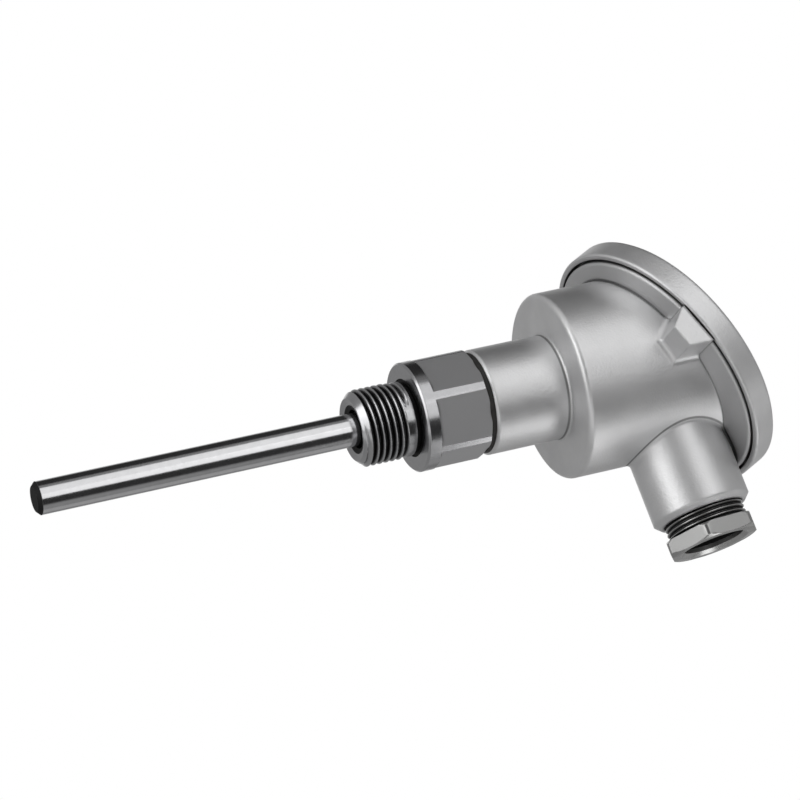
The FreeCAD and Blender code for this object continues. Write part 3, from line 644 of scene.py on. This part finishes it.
@dataclass
class Thread:
    """A screw thread about Z.

    Attributes:
        pitch: Rise of one turn.
        major: Radius of the crests.
        minor: Radius of the roots.
        start: Height of its first end, which has the lead-in chamfer.
        end: Height of its other end.
        lead: Radius of the chamfer at the start.
        shift: How far up the helix is moved.
        land: Radius of the plain land that the crests run into, or 0 for none.
        land_start: Height where the land begins.
        runout: Height at which the groove fades out into the land.
        rows: Grid rows in one turn.
        crest_share: Width of the flat crest as a share of the pitch.
        fade_share: Length of the groove's fade as a share of the pitch.
    """

    pitch: float
    major: float
    minor: float
    start: float
    end: float
    lead: float
    shift: float = 0.0
    land: float = 0.0
    land_start: float = 0.0
    runout: float = 0.0
    rows: float = 14.0
    crest_share: float = 0.14
    fade_share: float = 0.08

    def __post_init__(self) -> None:
        """Give a thread with no land a land of its own radius at its end."""
        if not self.land:
            self.land, self.land_start, self.runout = self.major, self.end, self.end + self.pitch

    def radius(self, angle: float, height: float) -> float:
        """The threaded surface's radius.

        Args:
            angle: Direction about the axis, in radians.
            height: Height along the axis.

        Returns:
            The radius there.
        """
        phase = ((height - self.start - self.shift) / self.pitch - angle / math.tau) % 1.0
        fall = 1 - abs(2 * phase - 1)
        share = min(max((fall - self.crest_share) / (1 - 2 * self.crest_share), 0.0), 1.0)
        middle = height - self.pitch * (phase - 0.5)
        fade = 1 - ease(middle, self.runout, self.runout + self.fade_share * self.pitch)
        land = ease(height, self.land_start - self.pitch, self.land_start)
        crest = self.major - (self.major - self.land) * land
        root = crest - (crest - self.minor) * share * fade
        return min(root, self.lead + height - self.start)

    @staticmethod
    def tree() -> bpy.types.NodeTree:
        """Build the tree that winds a flat grid of (angle, row) into a thread.

        Returns:
            The Geometry Nodes tree, whose inputs are named as the fields are.
        """
        graph, size = new_tree("wind_thread", [item.name for item in fields(Thread)])
        pitch, start, flat = size["pitch"], size["start"], size["crest_share"]
        angle, row, _ = graph.split(graph.add("GeometryNodeInputPosition"))
        turn = angle / math.tau
        height = start + pitch * (row / size["rows"] + turn - 1.0)
        height = height.at_least(start).at_most(size["end"])
        phase = ((height - start - size["shift"]) / pitch - turn + 2.0).fract()
        fall = 1.0 - (2.0 * phase - 1.0).size()
        share = ((fall - flat) / (1.0 - 2.0 * flat)).at_least(0.0).at_most(1.0)
        middle = height - pitch * (phase - 0.5)
        fade_end = size["runout"] + size["fade_share"] * pitch
        fade = 1.0 - middle.smooth(size["runout"], fade_end)
        land = height.smooth(size["land_start"] - pitch, size["land_start"])
        crest = size["major"] - (size["major"] - size["land"]) * land
        root = crest - (crest - size["minor"]) * share * fade
        radius = root.at_most(size["lead"] + height - start)
        sockets = {"X": radius * angle.cosine(), "Y": radius * angle.sine(), "Z": height}
        place = graph.add("ShaderNodeCombineXYZ", sockets)
        wound = graph.add("GeometryNodeSetPosition", {0: size["Geometry"], "Position": place})
        welded = graph.add("GeometryNodeMergeByDistance", {0: wound, "Distance": WELD})
        return close_tree(graph, welded, size["Material"])

    def wind(self, tree: bpy.types.NodeTree, angles: Sequence[float]) -> bpy.types.Mesh:
        """Wind this thread over the given directions.

        Args:
            tree: The tree from `Thread.tree`.
            angles: Directions of the grid's columns, from 0 up to a full turn.

        Returns:
            The threaded surface, open at both ends.
        """
        turns = math.ceil((self.end - self.start) / self.pitch) + 1
        count, wide = turns * int(self.rows) + 1, len(angles)
        corners = [(angle, float(row), 0.0) for row in range(count) for angle in angles]
        faces = [
            (low, low + 1, low + wide + 1, low + wide)
            for row in range(count - 1)
            for low in range(row * wide, row * wide + wide - 1)
        ]
        grid = bpy.data.meshes.new("thread_grid")
        grid.from_pydata(corners, [], faces)
        return run_tree(tree, grid, asdict(self))


def metric_thread(rows: float = 14.0, **sizes: float) -> Thread:
    """Return a thread whose sizes are given in millimetres, by field name."""
    return Thread(rows=rows, **{name: size * MM for name, size in sizes.items()})


@dataclass(frozen=True)
class Workshop:
    """What every assembly needs to finish its pieces.

    Attributes:
        finishes: Materials by slot.
        thread_tree: The tree from `Thread.tree`.
    """

    finishes: Mapping[str, bpy.types.Material]
    thread_tree: bpy.types.NodeTree

    def stand_in(
        self, name: str, mesh: bpy.types.Mesh, node: str, slot: str, body: str = ""
    ) -> bpy.types.Object:
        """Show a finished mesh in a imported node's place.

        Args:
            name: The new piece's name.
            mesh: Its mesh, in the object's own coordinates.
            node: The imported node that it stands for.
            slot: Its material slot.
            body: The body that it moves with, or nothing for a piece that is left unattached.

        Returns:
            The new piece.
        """
        mesh.name = name
        mesh.materials.clear()
        mesh.materials.append(self.finishes[slot])
        piece = bpy.data.objects.new(name, mesh)
        bpy.context.scene.collection.objects.link(piece)
        if body:
            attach(piece, body)
        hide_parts(node)
        log.info("%s stands for %s with %d faces", name, node, len(mesh.polygons))
        return piece


@dataclass(frozen=True)
class Station:
    """One ring of a turned piece.

    Attributes:
        radius: The turned radius.
        height: Height along the axis.
        milled: Whether the hexagon's flats cut it.
        dull: Whether the surface from here on is duller than the rest.
        stained: Whether the surface from here on is darkened with painted shade.
    """

    radius: float
    height: float
    milled: bool = False
    dull: bool = False
    stained: bool = False


@dataclass
class TurnedPiece:
    """A turned piece with one thread and, if it has one, a milled hexagon.

    Attributes:
        name: The piece's name.
        node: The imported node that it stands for.
        body: The body that it moves with.
        slot: Its material slot.
        thread: Its thread.
        stations: The outline from the thread's end round to its start.
        place: The frame that it stands in.
        shift: Its move inside that frame.
        flats: Half the hexagon's width across flats, or 0.
        turn: The hexagon's first corner, in radians.
        columns: Directions in a full turn.
        slot_width: Width of a screwdriver slot in the top, or 0.
        slot_depth: Depth of that slot.
    """

    name: str
    node: str
    body: str
    slot: str
    thread: Thread
    stations: Sequence[Station]
    place: Place = Place.PROBE
    shift: tuple[float, float, float] = (0.0, 0.0, 0.0)
    flats: float = 0.0
    turn: float = 0.0
    columns: int = 180
    slot_width: float = 0.0
    slot_depth: float = 0.0

    def angles(self) -> list[float]:
        """Directions of the grid's columns, with one on each end of every flat.

        Returns:
            Sorted angles from 0 to a full turn.
        """
        found = {math.tau * step / self.columns for step in range(self.columns + 1)}
        if self.flats:
            bar = max(station.radius for station in self.stations if station.milled)
            half = math.acos(self.flats / bar)
            for side in range(6):
                middle = self.turn + math.radians(60 * side + 30)
                found |= {(middle + end) % math.tau for end in (-half, 0.0, half)}
        return sorted(found)

    def reach(self, station: Station, angle: float) -> float:
        """The radius of a station in one direction.

        Args:
            station: The ring.
            angle: The direction, in radians.

        Returns:
            The turned radius, or less where a flat cuts it.
        """
        if not station.milled:
            return station.radius
        off = (angle - self.turn) % math.radians(60) - math.radians(30)
        return min(station.radius, self.flats / math.cos(off))

    def build(self, shop: Workshop) -> None:
        """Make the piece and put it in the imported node's place.

        Args:
            shop: The finishes and the thread tree.
        """
        angles = self.angles()
        shell = bmesh.new()
        wound = self.thread.wind(shop.thread_tree, angles)
        shell.from_mesh(wound)
        bpy.data.meshes.remove(wound)
        ends = [Station(0.0, height) for height in (self.thread.end, self.thread.start)]
        outline = [ends[0], *self.stations, ends[1]]
        rings = [[self.reach(station, angle) for angle in angles] for station in self.stations]
        first, last = (
            [self.thread.radius(angle, end.height) for angle in angles] for end in ends
        )
        join_rings(shell, angles, [first, *rings, last], outline)
        bmesh.ops.remove_doubles(shell, verts=shell.verts, dist=WELD)
        bmesh.ops.dissolve_degenerate(shell, dist=WELD, edges=shell.edges)
        bmesh.ops.recalc_face_normals(shell, faces=shell.faces)
        mesh = bpy.data.meshes.new(self.name)
        shell.to_mesh(mesh)
        shell.free()
        if self.slot_width:
            mesh = self._cut_slot(mesh)
        mesh.transform(self.place.matrix(self.shift))
        shape_smoothly(mesh)
        shop.stand_in(self.name, mesh, self.node, self.slot, self.body)

    def _cut_slot(self, mesh: bpy.types.Mesh) -> bpy.types.Mesh:
        """Cut the screwdriver slot into the head.

        Args:
            mesh: The turned mesh in its own frame.

        Returns:
            The mesh with its slot.
        """
        top = max(vertex.co.z for vertex in mesh.vertices)
        wide = 2 * max(vertex.co.x for vertex in mesh.vertices)
        size = Matrix.Diagonal((self.slot_width, 2 * wide, 2 * self.slot_depth, 1.0))
        block = bmesh.new()
        bmesh.ops.create_cube(block, size=1.0, matrix=Matrix.Translation((0, 0, top)) @ size)
        cutter_mesh = bpy.data.meshes.new("slot_cutter")
        block.to_mesh(cutter_mesh)
        block.free()
        cutter = bpy.data.objects.new("slot_cutter", cutter_mesh)
        bpy.context.scene.collection.objects.link(cutter)
        carrier = bpy.data.objects.new("slotted", mesh)
        cut = carrier.modifiers.new("slot", "BOOLEAN")
        cut.operation, cut.object, cut.solver = "DIFFERENCE", cutter, "EXACT"
        result = evaluated_mesh(carrier)
        bpy.data.objects.remove(cutter)
        bpy.data.meshes.remove(cutter_mesh)
        return result


def join_rings(
    shell: bmesh.types.BMesh,
    angles: Sequence[float],
    rings: Sequence[Sequence[float]],
    outline: Sequence[Station],
) -> None:
    """Add the faces between neighbouring rings, and mark the dull ones and those with painted
    shade.

    Args:
        shell: The mesh to add to.
        angles: Directions of the columns; the last closes the turn.
        rings: Radii of each ring, in those directions.
        outline: The station of each ring.
    """
    around = len(angles) - 1
    dull = shell.faces.layers.float.new(DULL)
    stain = shell.faces.layers.float.new(RECESS_SHADE)
    made = []
    for radii, station in zip(rings, outline):
        if max(radii) < WELD:
            made.append([shell.verts.new((0.0, 0.0, station.height))] * around)
        else:
            made.append([
                shell.verts.new((reach * math.cos(angle), reach * math.sin(angle), station.height))
                for reach, angle in zip(radii[:around], angles)
            ])
    for number, (low, high) in enumerate(zip(made, made[1:])):
        below, above = outline[number], outline[number + 1]
        for here in range(around):
            after = (here + 1) % around
            corners = dict.fromkeys((low[here], low[after], high[after], high[here]))
            if len(corners) < 3:
                continue
            face = shell.faces.new(list(corners))
            middle = (rings[number][here] + rings[number][here + 1]) / 2
            flat = below.milled and above.milled and middle < below.radius - WELD
            face[dull] = float(flat or below.dull)
            face[stain] = float(below.stained)


def stations(*rows: tuple[float, float], **marks: bool) -> list[Station]:
    """Return stations for rows of radius and height in millimetres, with their marks."""
    return [Station(radius * MM, height * MM, **marks) for radius, height in rows]


def chamfered_hexagon(
    bar: float, low: float, high: float, bevel_low: float, bevel_high: float
) -> list[Station]:
    """Rings up a milled hexagon, with a 45 degree bevel below and a 30 degree one above.

    Args:
        bar: Radius of the bar, in millimetres.
        low: Height of the lower end.
        high: Height of the upper end.
        bevel_low: Height of the lower bevel.
        bevel_high: Height of the upper bevel.

    Returns:
        Milled stations from low to high.
    """
    rises = [step / BEVEL_RINGS for step in range(BEVEL_RINGS + 1)]
    rows = [(bar - bevel_low * (1 - rise), low + bevel_low * rise) for rise in rises]
    rows += [(bar - 2 * bevel_high * rise, high - bevel_high * (1 - rise)) for rise in rises]
    return stations(*dict.fromkeys(rows), milled=True)


@dataclass
class ProcessFitting:
    """The screw-in fitting with its pipe thread, collar and hexagon, in millimetres."""

    thread_major: float = 10.4775
    thread_minor: float = 9.3155
    thread_pitch: float = 1.814
    thread_start: float = -16.2
    thread_shift: float = 0.2
    lead_radius: float = 8.5775
    land_radius: float = 10.2
    land_start: float = -3.5
    runout: float = -2.97
    land_bevel: float = 0.25
    relief_radius: float = 9.3
    relief_top: float = -1.1
    undercut_radius: float = 10.7275
    undercut_height: float = 0.3
    collar_radius: float = 15.0
    collar_bevel: float = 0.5
    collar_height: float = 3.7
    hexagon_flats: float = 27.0
    hexagon_turn: float = 29.5
    hexagon_top: float = 18.9
    hexagon_bevel: float = 0.6
    spigot_radius: float = 12.0
    spigot_height: float = 15.8
    spigot_bevel: float = 1.0
    passage_radius: float = 3.6
    socket_radius: float = 4.53
    socket_top: float = 12.0
    recess_radius: float = 5.3
    recess_top: float = -10.2
    mouth_radius: float = 8.0
    mouth_top: float = -15.05

    def build(self, shop: Workshop) -> None:
        """Build the threaded fitting.

        Args:
            shop: The finishes and the thread tree.
        """
        thread = metric_thread(
            pitch=self.thread_pitch, major=self.thread_major, minor=self.thread_minor,
            start=self.thread_start, end=self.relief_top - self.land_bevel,
            lead=self.lead_radius, shift=self.thread_shift, land=self.land_radius,
            land_start=self.land_start, runout=self.runout,
        )
        collar_edge = self.collar_radius - self.collar_bevel
        outline = stations((self.land_radius - self.land_bevel, self.relief_top))
        # The thread's relief groove and the undercut get painted shade.
        outline += stations(
            (self.relief_radius, self.relief_top), (self.relief_radius, self.undercut_height),
            (self.undercut_radius, self.undercut_height), stained=True,
        )
        outline += stations(
            (self.undercut_radius, 0.0), (collar_edge, 0.0),
            (self.collar_radius, self.collar_bevel), (self.collar_radius, self.collar_height),
        )
        outline += chamfered_hexagon(
            self.collar_radius, self.collar_height, self.hexagon_top, 0.0, self.hexagon_bevel
        )
        outline += self._upper_end()
        TurnedPiece(
            "threaded_fitting", "process_fitting", "probe", "fitting_steel", thread, outline,
            flats=self.hexagon_flats / 2 * MM, turn=math.radians(self.hexagon_turn), columns=192,
        ).build(shop)

    def _upper_end(self) -> list[Station]:
        """The spigot inside the head and the way down through the fitting.

        Returns:
            Stations from the hexagon's top to the threaded end's mouth.
        """
        spigot_top = self.hexagon_top + self.spigot_height
        spigot_edge = spigot_top - self.spigot_bevel
        clean = (self.recess_radius + self.mouth_radius) / 2
        outline = stations(
            (self.spigot_radius, self.hexagon_top), (self.spigot_radius, spigot_edge),
            (self.spigot_radius - self.spigot_bevel, spigot_top),
            (self.passage_radius + self.spigot_bevel, spigot_top),
            (self.passage_radius, spigot_edge), (self.passage_radius, self.socket_top),
            (self.socket_radius, self.socket_top),
        )
        # The recess down to the threaded end's mouth gets painted shade.
        outline += stations(
            (self.socket_radius, self.recess_top), (self.recess_radius, self.recess_top),
            (self.recess_radius, self.mouth_top), stained=True,
        )
        return outline + stations(
            (clean, (self.mouth_top + self.thread_start) / 2),
            (self.mouth_radius, self.thread_start),
        )


@dataclass
class CableGland:
    """The pressure screw of the cable entry, in millimetres along the entry."""

    thread_major: float = 11.25
    thread_depth: float = 0.85
    thread_pitch: float = 1.41
    thread_start: float = 35.52
    head_bottom: float = 49.1
    relief_width: float = 0.25
    relief_depth: float = 0.85
    lead: float = 0.7
    end: float = 53.4
    hexagon_flats: float = 24.0
    corner_cut: float = 0.5
    hexagon_turn: float = -4.0
    bevel: float = 0.7
    bore_radius: float = 8.5
    mouth_radius: float = 9.8
    mouth_depth: float = 0.9
    clean_depth: float = 2.1

    def build(self, shop: Workshop) -> None:
        """Build the threaded pressure screw.

        Args:
            shop: The finishes and the thread tree.
        """
        thread_end = self.head_bottom - self.relief_width
        relief = self.thread_major - self.relief_depth
        bar = self.hexagon_flats / math.sqrt(3) - self.corner_cut / 2
        thread = metric_thread(
            pitch=self.thread_pitch, major=self.thread_major,
            minor=self.thread_major - self.thread_depth, start=self.thread_start,
            end=thread_end, lead=self.thread_major - self.lead,
        )
        outline = stations((relief, thread_end), (relief, self.head_bottom))
        outline += chamfered_hexagon(bar, self.head_bottom, self.end, self.bevel, self.bevel)
        outline += stations((self.mouth_radius, self.end))
        outline += stations((self.bore_radius, self.end - self.mouth_depth), dull=True)
        # The bore beyond its clean mouth gets painted shade.
        outline += stations(
            (self.bore_radius, self.end - self.clean_depth), (self.bore_radius, self.thread_start),
            dull=True, stained=True,
        )
        TurnedPiece(
            "threaded_gland_screw", "gland_screw", "gland_screw", "nickel_brass", thread, outline,
            Place.ENTRY, flats=self.hexagon_flats / 2 * MM, turn=math.radians(self.hexagon_turn),
            columns=168,
        ).build(shop)


@dataclass
class SlottedScrews:
    """The lid's and the insert's slotted screws, in millimetres."""

    shank: float = 2.0
    root: float = 1.6
    bare: float = 1.2
    pitch: float = 0.7
    point: float = 0.4
    head: float = 3.5
    head_height: float = 2.4
    head_foot: float = 0.2
    head_crown: float = 0.3
    slot_width: float = 1.0
    slot_depth: float = 1.1
    lid_offset: float = 30.9963
    lid_end: float = -3.4
    lid_seat: float = 6.3
    insert_offset: float = 16.5
    insert_end: float = 43.25
    insert_seat: float = 62.5

    def build(self, shop: Workshop) -> None:
        """Build the four screws.

        Args:
            shop: The finishes and the thread tree.
        """
        lid = (self.lid_end, self.lid_seat, Place.LID, self.lid_offset)
        insert = (self.insert_end, self.insert_seat, Place.PROBE, self.insert_offset)
        for side, sign in (("near", -1.0), ("far", 1.0)):
            self._screw(shop, f"lid_screw_{side}", f"lid_screw_{side}", sign, *lid)
            self._screw(shop, f"insert_screw_{side}", "probe", sign, *insert)

    def _screw(
        self, shop: Workshop, node: str, body: str, sign: float, end: float, seat: float,
        place: Place, offset: float,
    ) -> None:
        """Build one screw.

        Args:
            shop: The finishes and the thread tree.
            node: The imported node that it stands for.
            body: The body that it moves with.
            sign: Its side of the probe axis, -1 or 1.
            end: Height of the threaded end.
            seat: Height of the head's underside.
            place: The frame that it stands in.
            offset: Its distance along Y.
        """
        thread = metric_thread(
            10.0, pitch=self.pitch, major=self.shank, minor=self.root, start=end,
            end=seat - self.bare, lead=self.shank - self.point,
        )
        top = seat + self.head_height
        outline = stations(
            (self.shank, seat - self.bare), (self.shank, seat), (self.head - self.head_foot, seat),
            (self.head, seat + self.head_foot), (self.head, top - self.head_crown),
            (self.head - self.head_crown, top), (0.0, top), (0.0, end),
        )
        TurnedPiece(
            node + "_threaded", node, body, "screw_steel", thread, outline, place,
            shift=(0.0, sign * offset * MM, 0.0), columns=48,
            slot_width=self.slot_width * MM, slot_depth=self.slot_depth * MM,
        ).build(shop)


@dataclass(frozen=True)
class PressureSprings:
    """The coil springs that press the measuring insert down, in millimetres."""

    turns: float = 6.0
    steps: int = 40
    coil_radius: float = 2.9
    wire_radius: float = 0.4
    wire_sides: int = 14
    first_height: float = 52.0
    last_height: float = 62.0
    offset: float = 16.5
    seat: float = 62.5
    travel: float = 6.0

    def tree(self) -> bpy.types.NodeTree:
        """Build the tree that makes one upright coil spring.

        Returns:
            The Geometry Nodes tree.
        """
        graph, size = new_tree("coil_spring", ("Turns", "Coil Radius", "Wire Radius", "Height"))
        spiral = graph.add("GeometryNodeCurveSpiral", {
            "Resolution": self.steps, "Rotations": size["Turns"], "Height": size["Height"],
            "Start Radius": size["Coil Radius"], "End Radius": size["Coil Radius"],
        })
        sockets = {0: self.wire_sides, "Radius": size["Wire Radius"]}
        ring = graph.add("GeometryNodeCurvePrimitiveCircle", sockets)
        sockets = {"Curve": spiral, "Profile Curve": ring, "Fill Caps": True}
        wire = graph.add("GeometryNodeCurveToMesh", sockets)
        return close_tree(graph, wire, size["Material"])

    def build(self, shop: Workshop) -> None:
        """Build both springs, which move with the insert.

        Args:
            shop: The finishes.
        """
        tree = self.tree()
        sizes = {
            "Turns": self.turns, "Coil Radius": self.coil_radius * MM,
            "Wire Radius": self.wire_radius * MM, "Material": shop.finishes["spring_steel"],
            "Height": (self.last_height - self.first_height) * MM,
        }
        for side, sign in (("near", -1.0), ("far", 1.0)):
            node = f"insert_spring_{side}"
            mesh = run_tree(tree, bpy.data.meshes.new(node), sizes)
            mesh.transform(Matrix.Translation((0, sign * self.offset * MM, self.first_height * MM)))
            shape_smoothly(mesh)
            piece = shop.stand_in(node + "_coiled", mesh, node, "spring_steel", "probe")
            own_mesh(piece)


@dataclass(frozen=True)
class GlandSeal:
    """The gland's rubber ring, in millimetres."""

    node: str = "gland_seal"
    bottom: float = 26.5
    top: float = 34.5

    def build(self, shop: Workshop) -> None:
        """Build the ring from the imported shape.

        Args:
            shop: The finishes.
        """
        mesh = frame["nodes"][self.node].data.copy()
        piece = shop.stand_in(self.node + "_rubber", mesh, self.node, "seal_rubber")
        start, end = (
            Place.ENTRY.matrix() @ Vector((0.0, 0.0, height * MM))
            for height in (self.bottom, self.top)
        )
        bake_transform(piece)


@dataclass
class Camera:
    """The camera at the photograph's viewing angle.

    Attributes:
        place: Where it stands, in metres.
        forward: The direction that it looks in.
        down: The direction that points down in the picture.
        lens: Focal length, in millimetres.
        sensor: The sensor's width, in millimetres.
        clip: The nearest and the furthest distance that it shows, in metres.
    """

    place: tuple[float, float, float] = (0.243156, -0.863599, -0.322617)
    forward: tuple[float, float, float] = (-0.260292, 0.904629, 0.337483)
    down: tuple[float, float, float] = (0.919750, 0.338663, -0.198412)
    lens: float = 159.72
    sensor: float = 36.0
    clip: tuple[float, float] = (0.05, 20.0)

    def build(self) -> None:
        """Make the camera and set it as the scene's."""
        data = bpy.data.cameras.new("camera")
        data.lens, data.sensor_width = self.lens, self.sensor
        data.clip_start, data.clip_end = self.clip
        back, up = -Vector(self.forward), -Vector(self.down)
        turn = Matrix((up.cross(back), up, back)).transposed()
        camera = bpy.data.objects.new("camera", data)
        camera.matrix_world = Matrix.Translation(self.place) @ turn.to_4x4()
        bpy.context.scene.collection.objects.link(camera)
        bpy.context.scene.camera = camera


@dataclass(frozen=True)
class Softbox:
    """A rectangular studio lamp that faces the object.

    Attributes:
        name: What it is.
        direction: Where it stands, seen from the target.
        distance: How far away, in metres.
        width: Its horizontal side.
        height: Its other side.
        level: The brightness of its face, where 1 is white.
        target: The point that it faces.
    """

    name: str
    direction: tuple[float, float, float]
    distance: float
    width: float
    height: float
    level: float
    target: tuple[float, float, float] = (0.0, 0.0, 0.04)

    def build(self) -> None:
        """Make the lamp."""
        data = bpy.data.lights.new(self.name, "AREA")
        data.shape = "RECTANGLE"
        data.size, data.size_y = self.width, self.height
        data.energy = self.level * math.pi * self.width * self.height
        lamp = bpy.data.objects.new(self.name, data)
        away = Vector(self.direction).normalized()
        lamp.location = Vector(self.target) + away * self.distance
        lamp.rotation_euler = away.to_track_quat("Z", "Y").to_euler()
        lamp.visible_camera = False
        bpy.context.scene.collection.objects.link(lamp)


@dataclass
class Studio:
    """Pale floor, white background and the lamps.

    Attributes:
        floor_level: Height of the floor, in metres.
        floor_size: Its side, in metres.
        floor_color: Its paint.
        floor_roughness: The paint's roughness.
        floor_glow: How far the camera sees it as plain white.
        floor_reflection_share: How far metal shows the floor as a painted reflection, a plain
            glowing tone without the lamps on it.
        floor_reflection_tone: That tone.
        reflection_stripes: Direction, in degrees, and gain in tone of the painted reflection's
            glowing stripes, which only reflections show.
        reflection_stripe_edge: Cosines of the angles at which a stripe starts and is full.
        fill: Level of the light from all round.
        dark_side: Level of the room that metal shows, before its brighter parts.
        ceiling: Level of the ceiling, with where it starts and is full, upwards.
        backdrop: Level of the wall behind, with where it starts and is full, backwards.
        shade: Share of that level that is left on the right, with the shade's edges.
        side_wall: Level of the side wall, with where it starts and is full.
        corner: Level of the far corner, with where it starts, is full, falls and ends.
        corner_side: Where the far corner starts and is full, sideways.
        lamps: The lamps.
    """

    floor_level: float = -0.75
    floor_size: float = 80.0
    floor_color: Color = (0.55, 0.55, 0.55)
    floor_roughness: float = 0.8
    floor_glow: float = 0.75
    floor_reflection_share: float = 0.85
    floor_reflection_tone: float = 0.37
    reflection_stripes: Sequence[tuple[float, float]] = ((-25.0, 0.6), (-150.0, 0.6), (-88.0, -0.3))
    reflection_stripe_edge: tuple[float, float] = (0.93, 0.985)
    fill: float = 0.35
    dark_side: float = 0.03
    ceiling: tuple[float, float, float] = (0.3, 0.45, 0.75)
    backdrop: tuple[float, float, float] = (1.0, 0.45, 0.95)
    shade: tuple[float, float, float] = (0.26, -0.2, 0.2)
    side_wall: tuple[float, float, float] = (0.3, 0.88, 0.96)
    corner: tuple[float, float, float, float, float] = (0.42, 0.05, 0.4, 0.7, 0.95)
    corner_side: tuple[float, float] = (0.0, 0.3)
    lamps: Sequence[Softbox] = field(default_factory=lambda: (
        Softbox("key", (-0.434, -0.852, 0.292), 0.9, 0.69, 0.72, 1.1),
        Softbox("second", (0.17, -0.965, 0.2), 0.9, 0.52, 0.4, 1.3),
        Softbox("left", (-0.83, -0.52, 0.2), 0.9, 0.36, 0.5, 0.22),
        Softbox("top", (0.62, -0.2, 0.75), 0.8, 0.45, 0.35, 0.4),
        Softbox("side", (0.92, 0.1, 0.37), 0.3, 0.2, 0.08, 1.75, (0.02, -0.015, 0.055)),
        Softbox("below", (-0.26, -0.30, -0.92), 0.6, 0.5, 0.4, 1.65),
    ))

    def build(self) -> None:
        """Make the world, the floor and the lamps."""
        self._world()
        self._floor()
        for lamp in self.lamps:
            lamp.build()
        bpy.context.scene.view_settings.view_transform = "Standard"

    def _world(self) -> None:
        """White for the camera; a dark room with a pale backdrop for everything else."""
        world = bpy.data.worlds.new("studio")
        world.use_nodes = True
        world.node_tree.nodes.clear()
        graph = Graph(world.node_tree)
        across, along, up = graph.split(graph.add("ShaderNodeTexCoord", output="Generated"))
        unshaded = 1.0 - across.smooth(*self.shade[1:]) * (1 - self.shade[0])
        between = along.smooth(*self.corner[1:3]) - along.smooth(*self.corner[3:])
        walls = (
            (self.backdrop[0], along.smooth(*self.backdrop[1:]) * unshaded),
            (self.side_wall[0], across.smooth(*self.side_wall[1:])),
            (self.corner[0], between * across.smooth(*self.corner_side)),
            (self.ceiling[0], up.smooth(*self.ceiling[1:])),
        )
        room, *others = (wall * (level - self.dark_side) for level, wall in walls)
        for wall in others:
            room = room.at_least(wall)
        seen, shown = graph.rays()
        level = seen + shown * (room + self.dark_side - self.fill) + (1.0 - seen) * self.fill
        sockets = {"Color": (1.0, 1.0, 1.0, 1.0), "Strength": level}
        background = graph.add("ShaderNodeBackground", sockets)
        graph.node("ShaderNodeOutputWorld", {"Surface": background})
        bpy.context.scene.world = world

    def _floor(self) -> None:
        """A pale floor well below the tip, which keeps a soft shadow and glows in metal as a
        painted reflection.
        """
        half = self.floor_size / 2
        mesh = bpy.data.meshes.new("floor")
        signs = ((-1, -1), (1, -1), (1, 1), (-1, 1))
        corners = [(x * half, y * half, self.floor_level) for x, y in signs]
        mesh.from_pydata(corners, [], [(0, 1, 2, 3)])
        material, graph = new_material("floor_paint")
        sockets = {"Base Color": (*self.floor_color, 1.0), "Roughness": self.floor_roughness}
        paint = graph.add("ShaderNodeBsdfPrincipled", sockets)
        across, along, _ = graph.split(graph.place())
        distance, _ = graph.ring(graph.place())
        seen, shown = graph.rays()
        # Metal shows the floor as a painted reflection: a glowing plain tone with brighter and
        # darker stripes.
        tone = seen * (1.0 - self.floor_reflection_tone) + self.floor_reflection_tone
        for turn, gain in self.reflection_stripes:
            east, north = math.cos(math.radians(turn)), math.sin(math.radians(turn))
            facing = (across * east + along * north) / distance
            tone = tone + facing.smooth(*self.reflection_stripe_edge) * (1.0 - seen) * gain
        glow = graph.add("ShaderNodeEmission", {"Color": tone})
        share = seen * self.floor_glow + shown * self.floor_reflection_share
        shader = graph.add("ShaderNodeMixShader", {0: share, 1: paint, 2: glow})
        graph.node("ShaderNodeOutputMaterial", {"Surface": shader})
        mesh.materials.append(material)
        floor = bpy.data.objects.new("floor", mesh)
        bpy.context.scene.collection.objects.link(floor)


def dress_nodes(finishes: Mapping[str, bpy.types.Material]) -> None:
    """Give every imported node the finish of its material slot.

    Args:
        finishes: Materials by slot.
    """
    for row in frame["record"]["subparts"]:
        node = frame["nodes"][row["node"]]
        for place in node.material_slots:
            place.material = finishes[row["material_slot"]]
        log.info("%s is finished in %s", node.name, row["material_slot"])


def main() -> None:
    """Build the finishes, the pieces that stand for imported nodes, the studio and the camera."""
    logging.basicConfig(level=logging.INFO, format="%(name)s: %(message)s")
    finishes = {finish.slot: finish.build() for finish in FINISHES}
    dress_nodes(finishes)
    shop = Workshop(finishes, Thread.tree())
    for kind in (ProcessFitting, CableGland, SlottedScrews, PressureSprings, GlandSeal):
        kind().build(shop)
    Studio().build()
    Camera().build()


if __name__ == "__main__":
    main()
